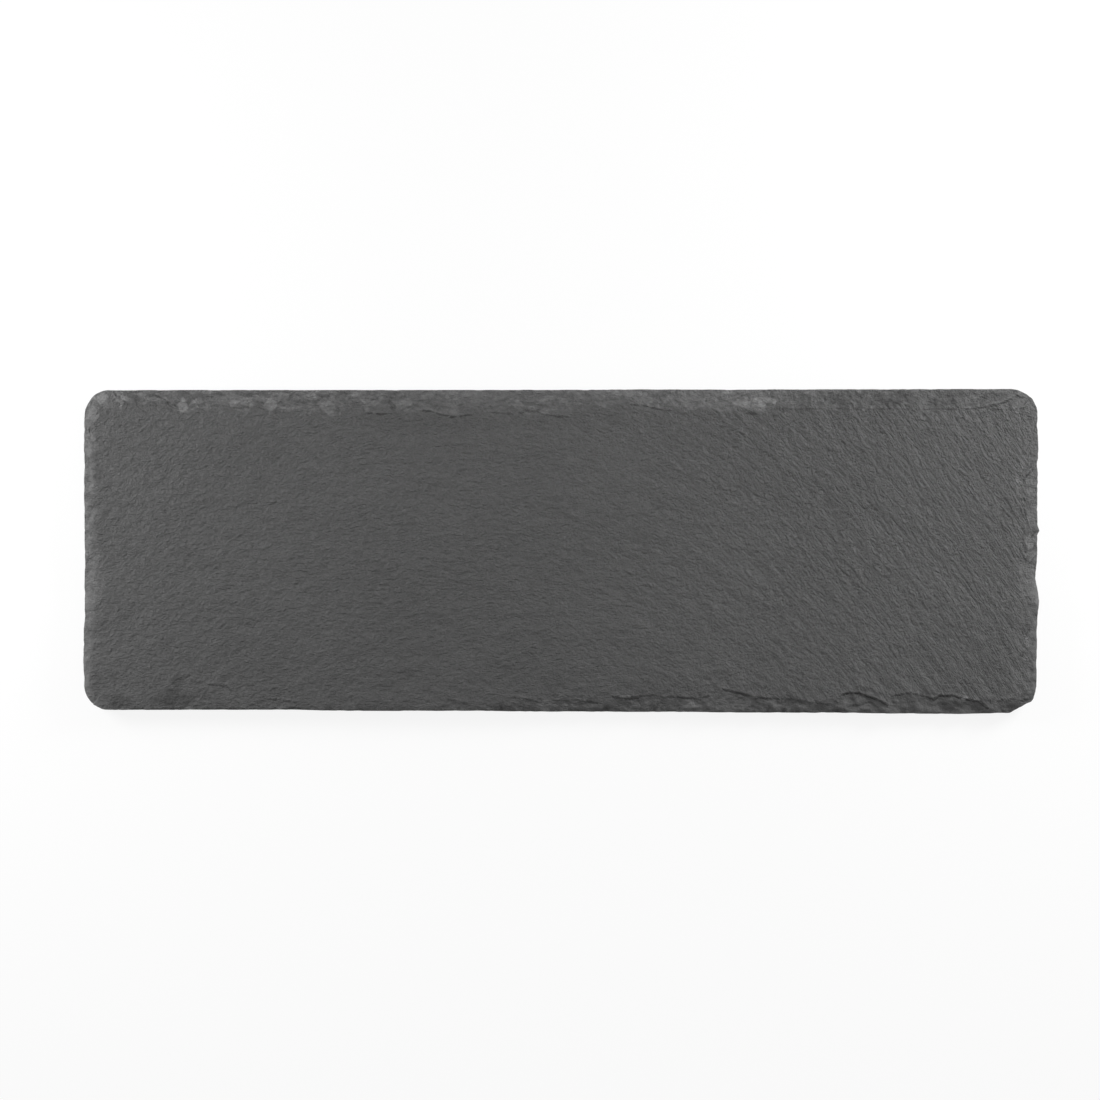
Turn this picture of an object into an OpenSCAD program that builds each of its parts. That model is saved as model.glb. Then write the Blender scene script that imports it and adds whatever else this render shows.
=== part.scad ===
// Long slate serving board: one slab of natural cleft slate with hand-dressed
// edges, standing on four stick-on rubber feet.
// Millimetres, +Z up, +X along the slab. The origin lies under the middle of
// the board, on the surface that the board stands on.

/* [Slab] */
// Overall length of the slab
slab_l = 300; // [240:1:400]
// Overall width of the slab
slab_w = 102; // [80:1:160]
// Thickness of the slab
slab_t = 5; // [4:0.1:8]
// Radius of the three rounded corners
corner_r = 8; // [4:0.5:12]
// Length of the broken corner along the long side
clip_l = 9; // [5:0.5:14]
// Width of the broken corner along the short side
clip_w = 4.5; // [2:0.5:8]

/* [Dressed edge] */
// Deepest dip of the dressed outline behind the overall size
edge_dip = 1.4; // [0.4:0.1:2]
// Reach of a usual flake scar, from the edge in over the face
scar_reach = 7; // [4:0.5:9]
// Radius of the hollow that a usual flake leaves
scar_r = 18; // [14:1:26]

/* [Feet] */
// Diameter of a foot pad
foot_d = 12; // [8:0.5:16]
// Thickness of a foot pad
foot_t = 1.8; // [1.2:0.1:4]
// Radius of the rounding round the underside of a foot pad
foot_round = 0.6; // [0.2:0.1:1]
// Thickness of the adhesive film that holds a foot pad
film_t = 0.2; // [0.1:0.05:0.5]
// Width of the pad's rim that the adhesive film leaves bare
film_margin = 0.3; // [0.1:0.1:1]
// Distance from the end of the slab to the middle of a foot
foot_in_x = 22; // [20:1:60]
// Distance from the long side of the slab to the middle of a foot
foot_in_y = 20; // [18:1:30]

/* [Hidden] */

slate_grey = [0.33, 0.33, 0.33];
rubber_black = [0.09, 0.09, 0.09];
film_pale = [0.75, 0.75, 0.72];

// Heights of the layers above the surface that the board stands on
film_z = foot_t;
slab_z = foot_t + film_t;
slab_top = slab_z + slab_t;

// Fineness of the rounded corners, the flake hollows and the feet
corner_steps = 8;
ball_fn = 96;
foot_fn = 96;
foot_round_steps = 6;

// The sides are numbered counterclockwise seen from above: 0 front, 1 right,
// 2 back, 3 left. A corner has the number of the side that follows it, so 1
// is the broken corner. A place along a side is a share of the stretch
// between its corners, counted counterclockwise from the middle of the side.
quarter_turn = 90;
broken_corner = 1;

// Dressed outline of each side: [place along the side, share of edge_dip that
// the outline lies behind the overall size]
outline_shares = [
    [
        [-0.47, 0.94], [-0.40, 0.97], [-0.30, 1.00], [-0.25, 0.76], [-0.17, 0.71],
        [-0.09, 0.76], [-0.04, 0.56], [0.05, 0.48], [0.15, 0.45], [0.19, 0.32],
        [0.32, 0.24], [0.36, 0.12], [0.44, 0.00],
    ],
    [
        [-0.25, 0.50], [-0.18, 0.08], [-0.15, 0.25], [-0.10, 0.85], [-0.01, 0.45],
        [0.06, 0.47], [0.075, 0.00], [0.10, 0.47], [0.22, 0.44], [0.28, 0.34],
        [0.31, 0.43], [0.37, 0.24], [0.46, 0.45],
    ],
    [
        [-0.47, 0.00], [-0.32, 0.05], [-0.22, 0.07], [-0.19, 0.15], [-0.15, 0.07],
        [-0.06, 0.07], [-0.02, 0.14], [0.08, 0.18], [0.20, 0.20], [0.29, 0.21],
        [0.38, 0.19], [0.48, 0.22],
    ],
    [
        [-0.43, 0.20], [-0.37, 0.07], [-0.32, 0.25], [-0.22, 0.10], [-0.16, 0.24],
        [-0.04, 0.24], [0.02, 0.41], [0.13, 0.18], [0.20, 0.27], [0.31, 0.10],
        [0.39, 0.00], [0.45, 0.16],
    ],
];
side_count = len(outline_shares);
// Outline of the broken corner, in from the corner of the overall size:
// [share of clip_l, share of clip_w]
clip_outline_shares = [
    [1.03, 0.08], [0.68, 0.47], [0.30, 0.85], [0.19, 1.05], [0.11, 1.60],
];

// Flake scars of each side: [place along the side, share of scar_reach, share
// of scar_r, share of slab_t that is left standing at the edge]
scar_shares = [
    [
        [-0.49, 0.50, 0.70, 0.42], [-0.445, 0.36, 0.80, 0.40], [-0.405, 0.55, 0.80, 0.36],
        [-0.36, 1.70, 2.60, 0.80], [-0.32, 0.50, 0.80, 0.38], [-0.28, 0.42, 0.90, 0.42],
        [-0.24, 0.48, 1.00, 0.36], [-0.20, 0.40, 0.80, 0.42], [-0.16, 0.46, 0.90, 0.38],
        [-0.115, 0.60, 0.90, 0.34], [-0.075, 0.45, 0.80, 0.40], [-0.035, 0.78, 1.00, 0.32],
        [0.005, 0.86, 0.90, 0.28], [0.04, 0.95, 0.80, 0.32], [0.08, 0.92, 1.00, 0.26],
        [0.12, 0.84, 0.80, 0.34], [0.155, 0.80, 0.90, 0.28], [0.20, 1.08, 1.30, 0.24],
        [0.25, 0.78, 0.90, 0.32], [0.29, 0.62, 0.80, 0.28], [0.335, 1.10, 1.00, 0.24],
        [0.375, 0.80, 0.70, 0.32], [0.41, 1.00, 1.10, 0.24], [0.455, 0.72, 0.90, 0.30],
        [0.49, 0.62, 0.80, 0.26],
    ],
    [
        [-0.44, 0.55, 0.90, 0.36], [-0.34, 0.48, 1.00, 0.30], [-0.24, 0.58, 0.80, 0.34],
        [-0.16, 0.44, 0.80, 0.26], [-0.09, 0.80, 0.70, 0.22], [0.00, 0.72, 1.00, 0.30],
        [0.09, 0.50, 0.80, 0.36], [0.18, 0.62, 1.10, 0.28], [0.28, 0.74, 0.90, 0.32],
        [0.38, 0.62, 0.90, 0.28], [0.47, 0.60, 0.80, 0.34],
    ],
    [
        [-0.49, 0.95, 0.90, 0.22], [-0.455, 0.95, 0.90, 0.26], [-0.415, 1.14, 0.90, 0.22],
        [-0.375, 0.88, 0.80, 0.28], [-0.34, 0.96, 0.80, 0.22], [-0.30, 0.92, 1.10, 0.26],
        [-0.255, 0.86, 1.20, 0.22], [-0.215, 1.05, 0.90, 0.26], [-0.18, 1.00, 0.80, 0.22],
        [-0.145, 1.02, 1.00, 0.28], [-0.10, 0.90, 1.20, 0.22], [-0.055, 0.76, 1.10, 0.26],
        [-0.01, 1.08, 1.20, 0.22], [0.035, 1.12, 1.10, 0.28], [0.08, 1.08, 1.20, 0.22],
        [0.125, 1.14, 1.30, 0.26], [0.17, 1.05, 0.90, 0.22], [0.215, 1.00, 1.20, 0.26],
        [0.255, 1.18, 0.80, 0.22], [0.285, 0.96, 0.90, 0.28], [0.32, 1.14, 0.80, 0.22],
        [0.355, 1.02, 0.80, 0.26], [0.385, 0.98, 0.90, 0.22], [0.42, 1.12, 0.70, 0.28],
        [0.455, 0.90, 1.00, 0.22], [0.495, 0.96, 0.80, 0.26],
    ],
    [
        [-0.49, 0.85, 0.80, 0.32], [-0.42, 0.66, 0.90, 0.28], [-0.33, 0.55, 0.90, 0.30],
        [-0.24, 0.60, 0.80, 0.34], [-0.15, 0.58, 0.90, 0.30], [-0.06, 0.54, 0.90, 0.34],
        [0.03, 0.86, 0.90, 0.30], [0.12, 0.92, 1.10, 0.26], [0.21, 0.62, 0.80, 0.30],
        [0.29, 0.58, 0.90, 0.34], [0.38, 0.50, 0.90, 0.30], [0.47, 0.42, 0.80, 0.34],
    ],
];
// The scar in the middle of each corner, in the same shares of scar_reach,
// scar_r and slab_t
corner_scar_shares = [
    [0.55, 0.80, 0.30],
    [0.62, 0.80, 0.24],
    [0.85, 0.80, 0.28],
    [0.95, 0.80, 0.26],
];

module slate_slab() {
    color(slate_grey)
    difference() {
        slab_blank();
        for (side = [0 : side_count - 1]) {
            for (s = scar_shares[side])
                scar(on_side(side, s[0]), side * quarter_turn, s[1], s[2], s[3]);
            let (s = corner_scar_shares[side])
                scar(corner_middle(side), corner_turn(side), s[0], s[1], s[2]);
        }
    }
}

// The trimmed slab before the flakes come off its upper edge
module slab_blank() {
    translate([0, 0, slab_z])
        linear_extrude(slab_t)
            polygon(slab_outline());
}

// The ball that cuts one scar, at a point of the outline that faces -Y before
// the turn. It passes through the lip that is left standing at the edge and
// through the scar's end on the face.
module scar(edge_point, turn, reach_share, radius_share, lip_share) {
    reach = reach_share * scar_reach;
    radius = radius_share * scar_r;
    rise = slab_t * (1 - lip_share);
    chord = norm([reach, rise]);
    height = sqrt(radius * radius - chord * chord / 4);
    translate([edge_point[0], edge_point[1], slab_top - rise / 2 + height * reach / chord])
        rotate([0, 0, turn])
            translate([0, reach / 2 - height * rise / chord, 0])
                sphere(r = radius, $fn = ball_fn);
}

// Outline of the slab, counterclockwise from the front left corner
function slab_outline() = [
    for (side = [0 : side_count - 1])
        each concat(
            side == broken_corner ? clipped_corner() : rounded_corner(side),
            [for (p = outline_shares[side]) on_side(side, p[0])]
        )
];

// Stretch of a side between its corners, and distance of a side of the
// overall size from the middle of the slab
function side_run(side) = (side % 2 == 0 ? slab_l : slab_w) - 2 * corner_r;
function side_far(side) = (side % 2 == 0 ? slab_w : slab_l) / 2;

// The outline's point at a place along a side
function on_side(side, place) =
    turned(
        [place * side_run(side), lookup(place, outline_shares[side]) * edge_dip - side_far(side)],
        side * quarter_turn
    );

function turned(p, angle) = [
    p[0] * cos(angle) - p[1] * sin(angle),
    p[0] * sin(angle) + p[1] * cos(angle),
];

// A rounded corner is an arc of a quarter turn. Its centre lies corner_r in
// from the end of the side before it and from the start of the side after it.
function rounded_corner(corner) = [
    for (k = [0 : corner_steps])
        let (angle = (corner - 2 + k / corner_steps) * quarter_turn)
        corner_centre(corner) + corner_r * [cos(angle), sin(angle)]
];

function corner_centre(corner) =
    let (
        before = outline_shares[(corner + side_count - 1) % side_count],
        after = outline_shares[corner],
        dip_before = before[len(before) - 1][1] * edge_dip,
        dip_after = after[0][1] * edge_dip
    )
    turned(
        [
            dip_before + corner_r - side_far(corner + 1),
            dip_after + corner_r - side_far(corner),
        ],
        corner * quarter_turn
    );

function clipped_corner() = [
    for (p = clip_outline_shares)
        [slab_l / 2 - p[0] * clip_l, p[1] * clip_w - slab_w / 2]
];

function corner_middle(corner) =
    corner == broken_corner
        ? [slab_l / 2 - clip_l / 2, clip_w / 2 - slab_w / 2]
        : rounded_corner(corner)[corner_steps / 2];

function corner_turn(corner) =
    corner == broken_corner ? atan2(clip_w, clip_l) : (corner - 1 / 2) * quarter_turn;

// A foot pad is a low disc whose underside has a rounded rim. For every foot,
// sx is 1 at the right and -1 at the left, sy 1 at the back and -1 at the front.
module foot_pad(sx, sy) {
    color(rubber_black)
    at_foot(sx, sy)
        rotate_extrude($fn = foot_fn)
            polygon(concat(
                [[0, 0]],
                [for (k = [0 : foot_round_steps]) foot_rim(k / foot_round_steps * quarter_turn)],
                [[foot_d / 2, foot_t], [0, foot_t]]
            ));
}

function foot_rim(angle) = [
    foot_d / 2 - foot_round * (1 - sin(angle)),
    foot_round * (1 - cos(angle)),
];

module adhesive_film(sx, sy) {
    color(film_pale)
    at_foot(sx, sy)
        translate([0, 0, film_z])
            cylinder(d = foot_d - 2 * film_margin, h = film_t, $fn = foot_fn);
}

module at_foot(sx, sy) {
    translate([sx * (slab_l / 2 - foot_in_x), sy * (slab_w / 2 - foot_in_y), 0])
        children();
}

slate_slab();
foot_pad(-1, -1);  // foot_pad_front_left
foot_pad(1, -1);  // foot_pad_front_right
foot_pad(-1, 1);  // foot_pad_back_left
foot_pad(1, 1);  // foot_pad_back_right
adhesive_film(-1, -1);  // adhesive_film_front_left
adhesive_film(1, -1);  // adhesive_film_front_right
adhesive_film(-1, 1);  // adhesive_film_back_left
adhesive_film(1, 1);  // adhesive_film_back_right
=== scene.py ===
"""Looks of a long slate serving board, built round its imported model.

The slab's riven faces and hand-dressed edges are worked out with numpy, in
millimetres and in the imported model's frame. They become metres where a mesh is
made.
"""

import logging
import math
from dataclasses import dataclass
from enum import Enum, IntEnum
from typing import Any, Optional, Sequence, Union

import bpy
import numpy as np
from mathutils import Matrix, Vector


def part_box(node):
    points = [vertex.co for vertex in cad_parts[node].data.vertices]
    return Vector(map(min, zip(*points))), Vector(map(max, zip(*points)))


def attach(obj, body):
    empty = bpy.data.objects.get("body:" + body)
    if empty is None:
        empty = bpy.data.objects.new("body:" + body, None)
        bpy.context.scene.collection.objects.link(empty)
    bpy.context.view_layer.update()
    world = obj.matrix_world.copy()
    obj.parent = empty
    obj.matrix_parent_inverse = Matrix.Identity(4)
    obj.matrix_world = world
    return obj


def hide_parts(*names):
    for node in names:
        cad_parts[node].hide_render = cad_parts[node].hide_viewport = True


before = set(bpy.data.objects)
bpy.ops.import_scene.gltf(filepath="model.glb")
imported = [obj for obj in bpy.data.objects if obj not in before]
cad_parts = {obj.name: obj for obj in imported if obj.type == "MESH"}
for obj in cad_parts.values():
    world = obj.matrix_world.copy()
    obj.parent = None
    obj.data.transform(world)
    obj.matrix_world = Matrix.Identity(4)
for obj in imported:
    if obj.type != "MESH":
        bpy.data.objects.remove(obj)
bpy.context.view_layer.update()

MM = 0.001
QUARTER_TURN = math.pi / 2
Array = np.ndarray
LOG = logging.getLogger("slate_board")

# The values that the slab's mesh keeps at its points, for the slate's finish
MARKS = ("dressed", "broken", "bruise", "pale", "pale_tone", "hollow_shade", "crack_shade", "away", "highlight_away")


# Noise


# Cells after which the noise repeats, and the spread of its values before they are evened
NOISE_TILE = 256
NOISE_SPREAD = 0.26


def gradient_noise(u: Array, v: Array, seed: int) -> Array:
    """Noise of unit spread, with features about one unit across.

    Every lattice corner has a random direction. The value is the dot product of
    that direction with the way from the corner, blended between the four
    corners with the quintic fade 6t^5 - 15t^4 + 10t^3.

    Args:
        u, v: places, in wavelengths.
        seed: which of the random patterns.

    Returns:
        One value for each place, with a mean of 0 and a spread of about 1.
    """
    angles = np.random.default_rng(seed).uniform(0, 2 * np.pi, (NOISE_TILE, NOISE_TILE))
    cell_u, cell_v = np.floor(u).astype(int), np.floor(v).astype(int)
    part_u, part_v = u - cell_u, v - cell_v
    fade_u, fade_v = (t**3 * (t * (t * 6 - 15) + 10) for t in (part_u, part_v))
    total = np.zeros_like(part_u)
    for du in (0, 1):
        for dv in (0, 1):
            angle = angles[(cell_u + du) % NOISE_TILE, (cell_v + dv) % NOISE_TILE]
            slope = np.cos(angle) * (part_u - du) + np.sin(angle) * (part_v - dv)
            weight_u = fade_u if du else 1 - fade_u
            weight_v = fade_v if dv else 1 - fade_v
            total += slope * weight_u * weight_v
    return total / NOISE_SPREAD


def fractal_noise(u: Array, v: Array, octaves: int, seed: int, gain: float = 0.5) -> Array:
    """Gradient noise in layers, each half as wide as the one before.

    Args:
        u, v: places, in wavelengths of the widest layer.
        octaves: number of layers.
        seed: which of the random patterns.
        gain: strength of each layer beside the one before.

    Returns:
        One value for each place, with a mean of 0 and a spread of about 1.
    """
    total = np.zeros_like(u)
    for octave in range(octaves):
        total += gradient_noise(u * 2**octave, v * 2**octave, seed + octave) * gain**octave
    return total / math.sqrt(sum(gain ** (2 * octave) for octave in range(octaves)))


def facet_noise(u: Array, v: Array, seed: int) -> Array:
    """Tilted facets about one unit across, as broken stone has.

    Every unit square holds one random point. A place belongs to the nearest of
    them, and its value is the dot product of that point's random tilt with the
    way from the point.

    Args:
        u, v: places, in facets.
        seed: which of the random patterns.

    Returns:
        Heights, for a tilt of about 1.
    """
    rng = np.random.default_rng(seed)
    at = rng.uniform(0, 1, (NOISE_TILE, NOISE_TILE, 2))
    tilt = rng.normal(0, 1, (NOISE_TILE, NOISE_TILE, 2))
    cell_u, cell_v = np.floor(u).astype(int), np.floor(v).astype(int)
    nearest = np.full(u.shape, np.inf)
    height = np.zeros(u.shape)
    for du in (-1, 0, 1):
        for dv in (-1, 0, 1):
            key = (cell_u + du) % NOISE_TILE, (cell_v + dv) % NOISE_TILE
            way_u = u - (cell_u + du + at[key][..., 0])
            way_v = v - (cell_v + dv + at[key][..., 1])
            distance = np.hypot(way_u, way_v)
            closer = distance < nearest
            nearest = np.where(closer, distance, nearest)
            height = np.where(closer, way_u * tilt[key][..., 0] + way_v * tilt[key][..., 1], height)
    return height


def smooth_step(value: Array, low: float, high: Union[Array, float]) -> Array:
    """0 up to low and 1 from high, with 3t^2 - 2t^3 between them."""
    t = np.clip((value - low) / (high - low), 0, 1)
    return t * t * (3 - 2 * t)


# Shader nodes


Number = Union["Value", float]


class Value:
    """A number socket of a node tree, whose arithmetic adds Math nodes."""

    def __init__(self, graph: "Graph", socket: bpy.types.NodeSocket) -> None:
        """Wraps one output socket of the graph."""
        self.graph = graph
        self.socket = socket

    def math(self, operation: str, *terms: Number) -> "Value":
        """The result of a Math node.

        Args:
            operation: the Math node's operation.
            terms: its numbers or sockets, in order.

        Returns:
            The node's value.
        """
        node = self.graph.node("ShaderNodeMath", {"operation": operation}, dict(enumerate(terms)))
        return Value(self.graph, node.outputs[0])

    def __add__(self, other: Number) -> "Value":
        """self + other."""
        return self.math("ADD", self, other)

    def __sub__(self, other: Number) -> "Value":
        """self - other."""
        return self.math("SUBTRACT", self, other)

    def __rsub__(self, other: Number) -> "Value":
        """other - self."""
        return self.math("SUBTRACT", other, self)

    def __mul__(self, other: Number) -> "Value":
        """self * other."""
        return self.math("MULTIPLY", self, other)

    def __truediv__(self, other: Number) -> "Value":
        """self / other."""
        return self.math("DIVIDE", self, other)

    __radd__ = __add__
    __rmul__ = __mul__

    def stairs(self, steps: float, ramp: float) -> "Value":
        """The number rounded down to whole steps, with a ramp before each.

        Args:
            steps: number of steps to one unit.
            ramp: share of each step that its ramp takes.

        Returns:
            The stairs, as high as the number.
        """
        scaled = self * steps
        whole = scaled.math("FLOOR", scaled)
        return (whole + (scaled - whole).step(1.0 - ramp, 1.0)) / steps

    def step(self, low: float, high: float) -> "Value":
        """A smooth step between two values, of which either may be the higher.

        Args:
            low: where it is 0, and past it too.
            high: where it is 1, and past it too.

        Returns:
            The step.
        """
        node = self.graph.node(
            "ShaderNodeMapRange",
            {"interpolation_type": "SMOOTHSTEP"},
            {"Value": self, "From Min": low, "From Max": high},
        )
        return Value(self.graph, node.outputs["Result"])


class Graph:
    """The node tree of a material or world, emptied before use."""

    def __init__(self, owner: Union[bpy.types.Material, bpy.types.World]) -> None:
        """Empties the owner's node tree.

        Args:
            owner: the material or world.
        """
        owner.use_nodes = True
        self.tree = owner.node_tree
        self.tree.nodes.clear()

    def node(
        self,
        kind: str,
        settings: Optional[dict[str, Any]] = None,
        inputs: Optional[dict[Union[str, int], Any]] = None,
    ) -> bpy.types.Node:
        """Adds a node.

        Args:
            kind: the node's type name.
            settings: its properties, which are set first.
            inputs: numbers, colours, sockets or Values, by socket name or number.

        Returns:
            The node.
        """
        node = self.tree.nodes.new(kind)
        for name, value in (settings or {}).items():
            setattr(node, name, value)
        for key, value in (inputs or {}).items():
            socket = node.inputs[key]
            if isinstance(value, Value):
                value = value.socket
            if isinstance(value, bpy.types.NodeSocket):
                self.tree.links.new(value, socket)
            else:
                socket.default_value = value
        return node

    def place(self) -> tuple[Value, ...]:
        """Reads where the surface point is.

        Returns:
            Its object coordinates x, y and z, in millimetres.
        """
        point = self.node("ShaderNodeTexCoord").outputs["Object"]
        parts = self.node("ShaderNodeSeparateXYZ", None, {0: point}).outputs
        return tuple(Value(self, part) * (1 / MM) for part in parts)

    def scaled(self, at: Sequence[Value], size: Sequence[float]) -> bpy.types.NodeSocket:
        """A vector socket whose three parts are divided by a length each."""
        parts = {number: part / length for number, (part, length) in enumerate(zip(at, size))}
        return self.node("ShaderNodeCombineXYZ", None, parts).outputs[0]

    def noise(
        self, at: Sequence[Value], size: Sequence[float], detail: float, rough: float, distort: float = 0.0
    ) -> Value:
        """Blender's noise, moved to a mean of 0.

        Args:
            at: places, in millimetres.
            size: width of its features along each axis, in millimetres.
            detail: number of finer layers.
            rough: strength of each layer beside the one before.
            distort: how far the places are first pushed about, in features.

        Returns:
            Values from about -0.5 to 0.5.
        """
        inputs = {"Scale": 1.0, "Detail": detail, "Roughness": rough, "Distortion": distort}
        inputs["Vector"] = self.scaled(at, size)
        return Value(self, self.node("ShaderNodeTexNoise", None, inputs).outputs[0]) - 0.5

    def chips(self, at: Sequence[Value], size: Sequence[float]) -> tuple[Value, Value]:
        """Cells with a random tone each.

        Args:
            at: places, in millimetres.
            size: width of the cells along each axis, in millimetres.

        Returns:
            The cell's tone, from -0.5 to 0.5, and the distance from its middle,
            from 0 to about 0.8 of its size.
        """
        inputs = {"Vector": self.scaled(at, size), "Scale": 1.0}
        cells = self.node("ShaderNodeTexVoronoi", {"feature": "F1"}, inputs).outputs
        tone = self.node("ShaderNodeSeparateColor", None, {0: cells["Color"]}).outputs[0]
        return Value(self, tone) - 0.5, Value(self, cells["Distance"])

    def attribute(self, name: str) -> Value:
        """A value that the mesh keeps at its points."""
        node = self.node("ShaderNodeAttribute", {"attribute_name": name})
        return Value(self, node.outputs["Fac"])

    def grey(self, value: Value, tint: Sequence[float] = (1, 1, 1)) -> bpy.types.NodeSocket:
        """A tint made as bright as a value says."""
        inputs = {0: tuple(tint), "Scale": value}
        return self.node("ShaderNodeVectorMath", {"operation": "SCALE"}, inputs).outputs[0]

    def bump(self, height: Value, relief: float) -> bpy.types.NodeSocket:
        """The normal tilted by a relief, whose unit of height is so many millimetres."""
        inputs = {"Height": height, "Distance": relief * MM, "Strength": 1.0}
        return self.node("ShaderNodeBump", None, inputs).outputs[0]

    def cover(
        self, shader: bpy.types.Node, colour: bpy.types.NodeSocket, rough: Value, normal: bpy.types.NodeSocket
    ) -> None:
        """Links what varies over the surface to a Principled shader."""
        for name, socket in (("Base Color", colour), ("Roughness", rough.socket), ("Normal", normal)):
            self.tree.links.new(socket, shader.inputs[name])

    def surface(self, shader: bpy.types.NodeSocket, output: str = "ShaderNodeOutputMaterial") -> None:
        """Sends a shader to the tree's output."""
        self.node(output, None, {"Surface": shader})


def new_material(name: str, **inputs: Any) -> tuple[bpy.types.Material, Graph, bpy.types.Node]:
    """A material with one Principled shader.

    Args:
        name: the material's name.
        inputs: constants of the shader, with _ for a space in a socket's name.

    Returns:
        The material, its graph and the shader.
    """
    material = bpy.data.materials.new(name)
    graph = Graph(material)
    constants = {key.replace("_", " "): value for key, value in inputs.items()}
    shader = graph.node("ShaderNodeBsdfPrincipled", None, constants)
    graph.surface(shader.outputs[0])
    return material, graph, shader


# Finishes


@dataclass(frozen=True)
class Grain:
    """The slate's grain, whose lines are flat parabolas that arch over the middle.

    Attributes:
        lean: slope of the lines at x = 0, downwards to the right.
        bend: how much steeper they get for each millimetre of x, halved.
    """

    lean: float = 0.26
    bend: float = 0.004

    def across(self, x: Any, y: Any) -> Any:
        """Millimetres across the lines, y + lean x + bend x^2, of arrays or Values."""
        return x * self.lean + x * x * self.bend + y


@dataclass(frozen=True)
class SlateFinish:
    """Dry natural slate: leathery and fibrous grain, fine split lines, crushed and shaded scars.

    Attributes:
        grain: the lines that its fibres follow.
        brightness: share of the light that it sends back, on the whole.
        cloud: strength of the broad light and dark clouds.
        speck: strength of the fine light and dark specks.
        roughness: how rough it is, on the whole.
        sheen_level: specular level of its faint sheen.
        relief: how many millimetres one unit of the grain's height is.
    """

    grain: Grain
    brightness: float = 0.0995
    cloud: float = 0.24
    speck: float = 0.66
    roughness: float = 0.66
    sheen_level: float = 0.2
    relief: float = 0.5

    def make(self) -> bpy.types.Material:
        """Builds the material, which reads the values that the mesh keeps at its points.

        Leather and pebble are the face's unlined grain, at the left and at the
        right. Fibre, streak and split follow the grain's lines and grow to the
        right. Layers, flakes and chips show where the stone broke.

        Returns:
            The material.
        """
        material, graph, shader = new_material("slate", Specular_IOR_Level=self.sheen_level)
        x, y, z = graph.place()
        across = self.grain.across(x, y)
        right = x.step(-20.0, 100.0)
        dressed, broken, crack_shade = (graph.attribute(name) for name in ("dressed", "broken", "crack_shade"))

        leather = graph.noise((x, y, z), (2.4, 1.4, 1.4), 3, 0.82)
        pebble = graph.noise((x + 120.0, y, z), (2.4, 2.2, 2.2), 3, 0.8)
        fibre = graph.noise((x, across, z), (4.4, 3.0, 3.0), 4, 0.78, 0.5)
        streak = graph.noise((x, across, z), (4.2, 2.8, 2.8), 2, 0.65, 0.8)
        split = graph.noise((x, across, z), (6.5, 4.5, 4.5), 4, 0.65, 0.6).stairs(14.0, 0.3)
        layers = graph.noise((x, y, z), (5.0, 5.0, 0.6), 3, 0.65, 0.3)
        flakes = graph.noise((x, y, z), (3.6, 1.6, 1.6), 4, 0.75, 0.6).stairs(9.0, 0.25)
        chip, chip_rise = graph.chips((x + flakes * 6.0, y + leather * 2.16, z), (3.0, 1.8, 1.8))
        unlined = leather * (3.6 - right * 1.8) + pebble * right * 3.8
        lined = fibre * (2.4 + right * 3.4) + streak * (0.5 + right * 1.3) + split * (0.4 + right * 1.4)
        face = unlined * (1.0 - dressed * right * 0.45) + lined * (1.0 - dressed * (right * 0.6 + 0.3))
        lively = y * (right * 0.006 + 0.005) + 1.0
        height = face * lively + (layers * 1.4 + flakes * 1.8 - chip_rise) * broken

        cloud = graph.noise((x, y, z), (38.0, 30.0, 30.0), 3, 0.55)
        speck = graph.noise((x, y, z), (0.75, 0.55, 0.55), 1, 0.8)
        ragged = streak * 1.1 + leather * 0.9
        # Painted shade: dark is each crack's thin dark line. Painted highlight: lip is a light line a little
        # below it, along the crack's rim.
        dark = crack_shade * (1.0 - (graph.attribute("away") + ragged).step(0.1, 0.42))
        lip = crack_shade * (1.0 - (graph.attribute("highlight_away") + ragged).step(0.15, 0.6))
        pale = (graph.attribute("pale") + ragged * 0.1).step(0.53, 0.41) * graph.attribute("pale_tone")
        shards = layers * 0.9 + flakes * 1.4 + chip * 0.32
        tone = (
            1.0
            # painted light: lighter towards the right, towards the left end and towards the back, where the
            # lamps fall more strongly
            + right * 0.05
            + x.step(-80.0, -150.0) * 0.03
            + y * (right * 0.0015 + 0.0022)
            + cloud * self.cloud
            + speck * (right * (0.14 - dressed * 0.5) + self.speck)
            + leather * (broken * 0.6 + 0.5)
            + (shards + shards * shards * 1.6) * broken
            + graph.attribute("bruise")
            + pale
            # painted highlight beside each crack, then painted shade in the hollows and along the cracks
            + lip * 0.25
            - (graph.attribute("hollow_shade") + dark) * 0.75
        )
        rough = self.roughness + speck * 0.2 + cloud * 0.1 + dressed * 0.08
        graph.cover(shader, graph.grey(tone * self.brightness), rough, graph.bump(height, self.relief))
        return material


@dataclass(frozen=True)
class RubberFinish:
    """Matt black moulded rubber with a fine skin and a little dust, worn underneath.

    Attributes:
        brightness: share of the light that it sends back, on the whole.
        roughness: how rough it is, on the whole.
        tint: its hue, nearly neutral.
    """

    brightness: float = 0.012
    roughness: float = 0.7
    tint: tuple[float, float, float] = (1.0, 1.0, 0.98)

    def make(self) -> bpy.types.Material:
        """Builds the material.

        Returns:
            The material.
        """
        material, graph, shader = new_material("foot_rubber", Specular_IOR_Level=0.4)
        at = graph.place()
        skin = graph.noise(at, (0.35, 0.35, 0.35), 2, 0.6)
        dust = graph.noise(at, (2.6, 2.6, 2.6), 4, 0.65)
        worn = 1.0 - at[2].step(0.0, 0.5)
        albedo = self.brightness * (1.0 + skin * 0.6 + dust.step(0.02, 0.3) * 1.4 + worn * 0.5)
        rough = self.roughness + skin * 0.15 + dust * 0.2
        graph.cover(shader, graph.grey(albedo, self.tint), rough, graph.bump(skin, 0.05))
        return material


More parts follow.
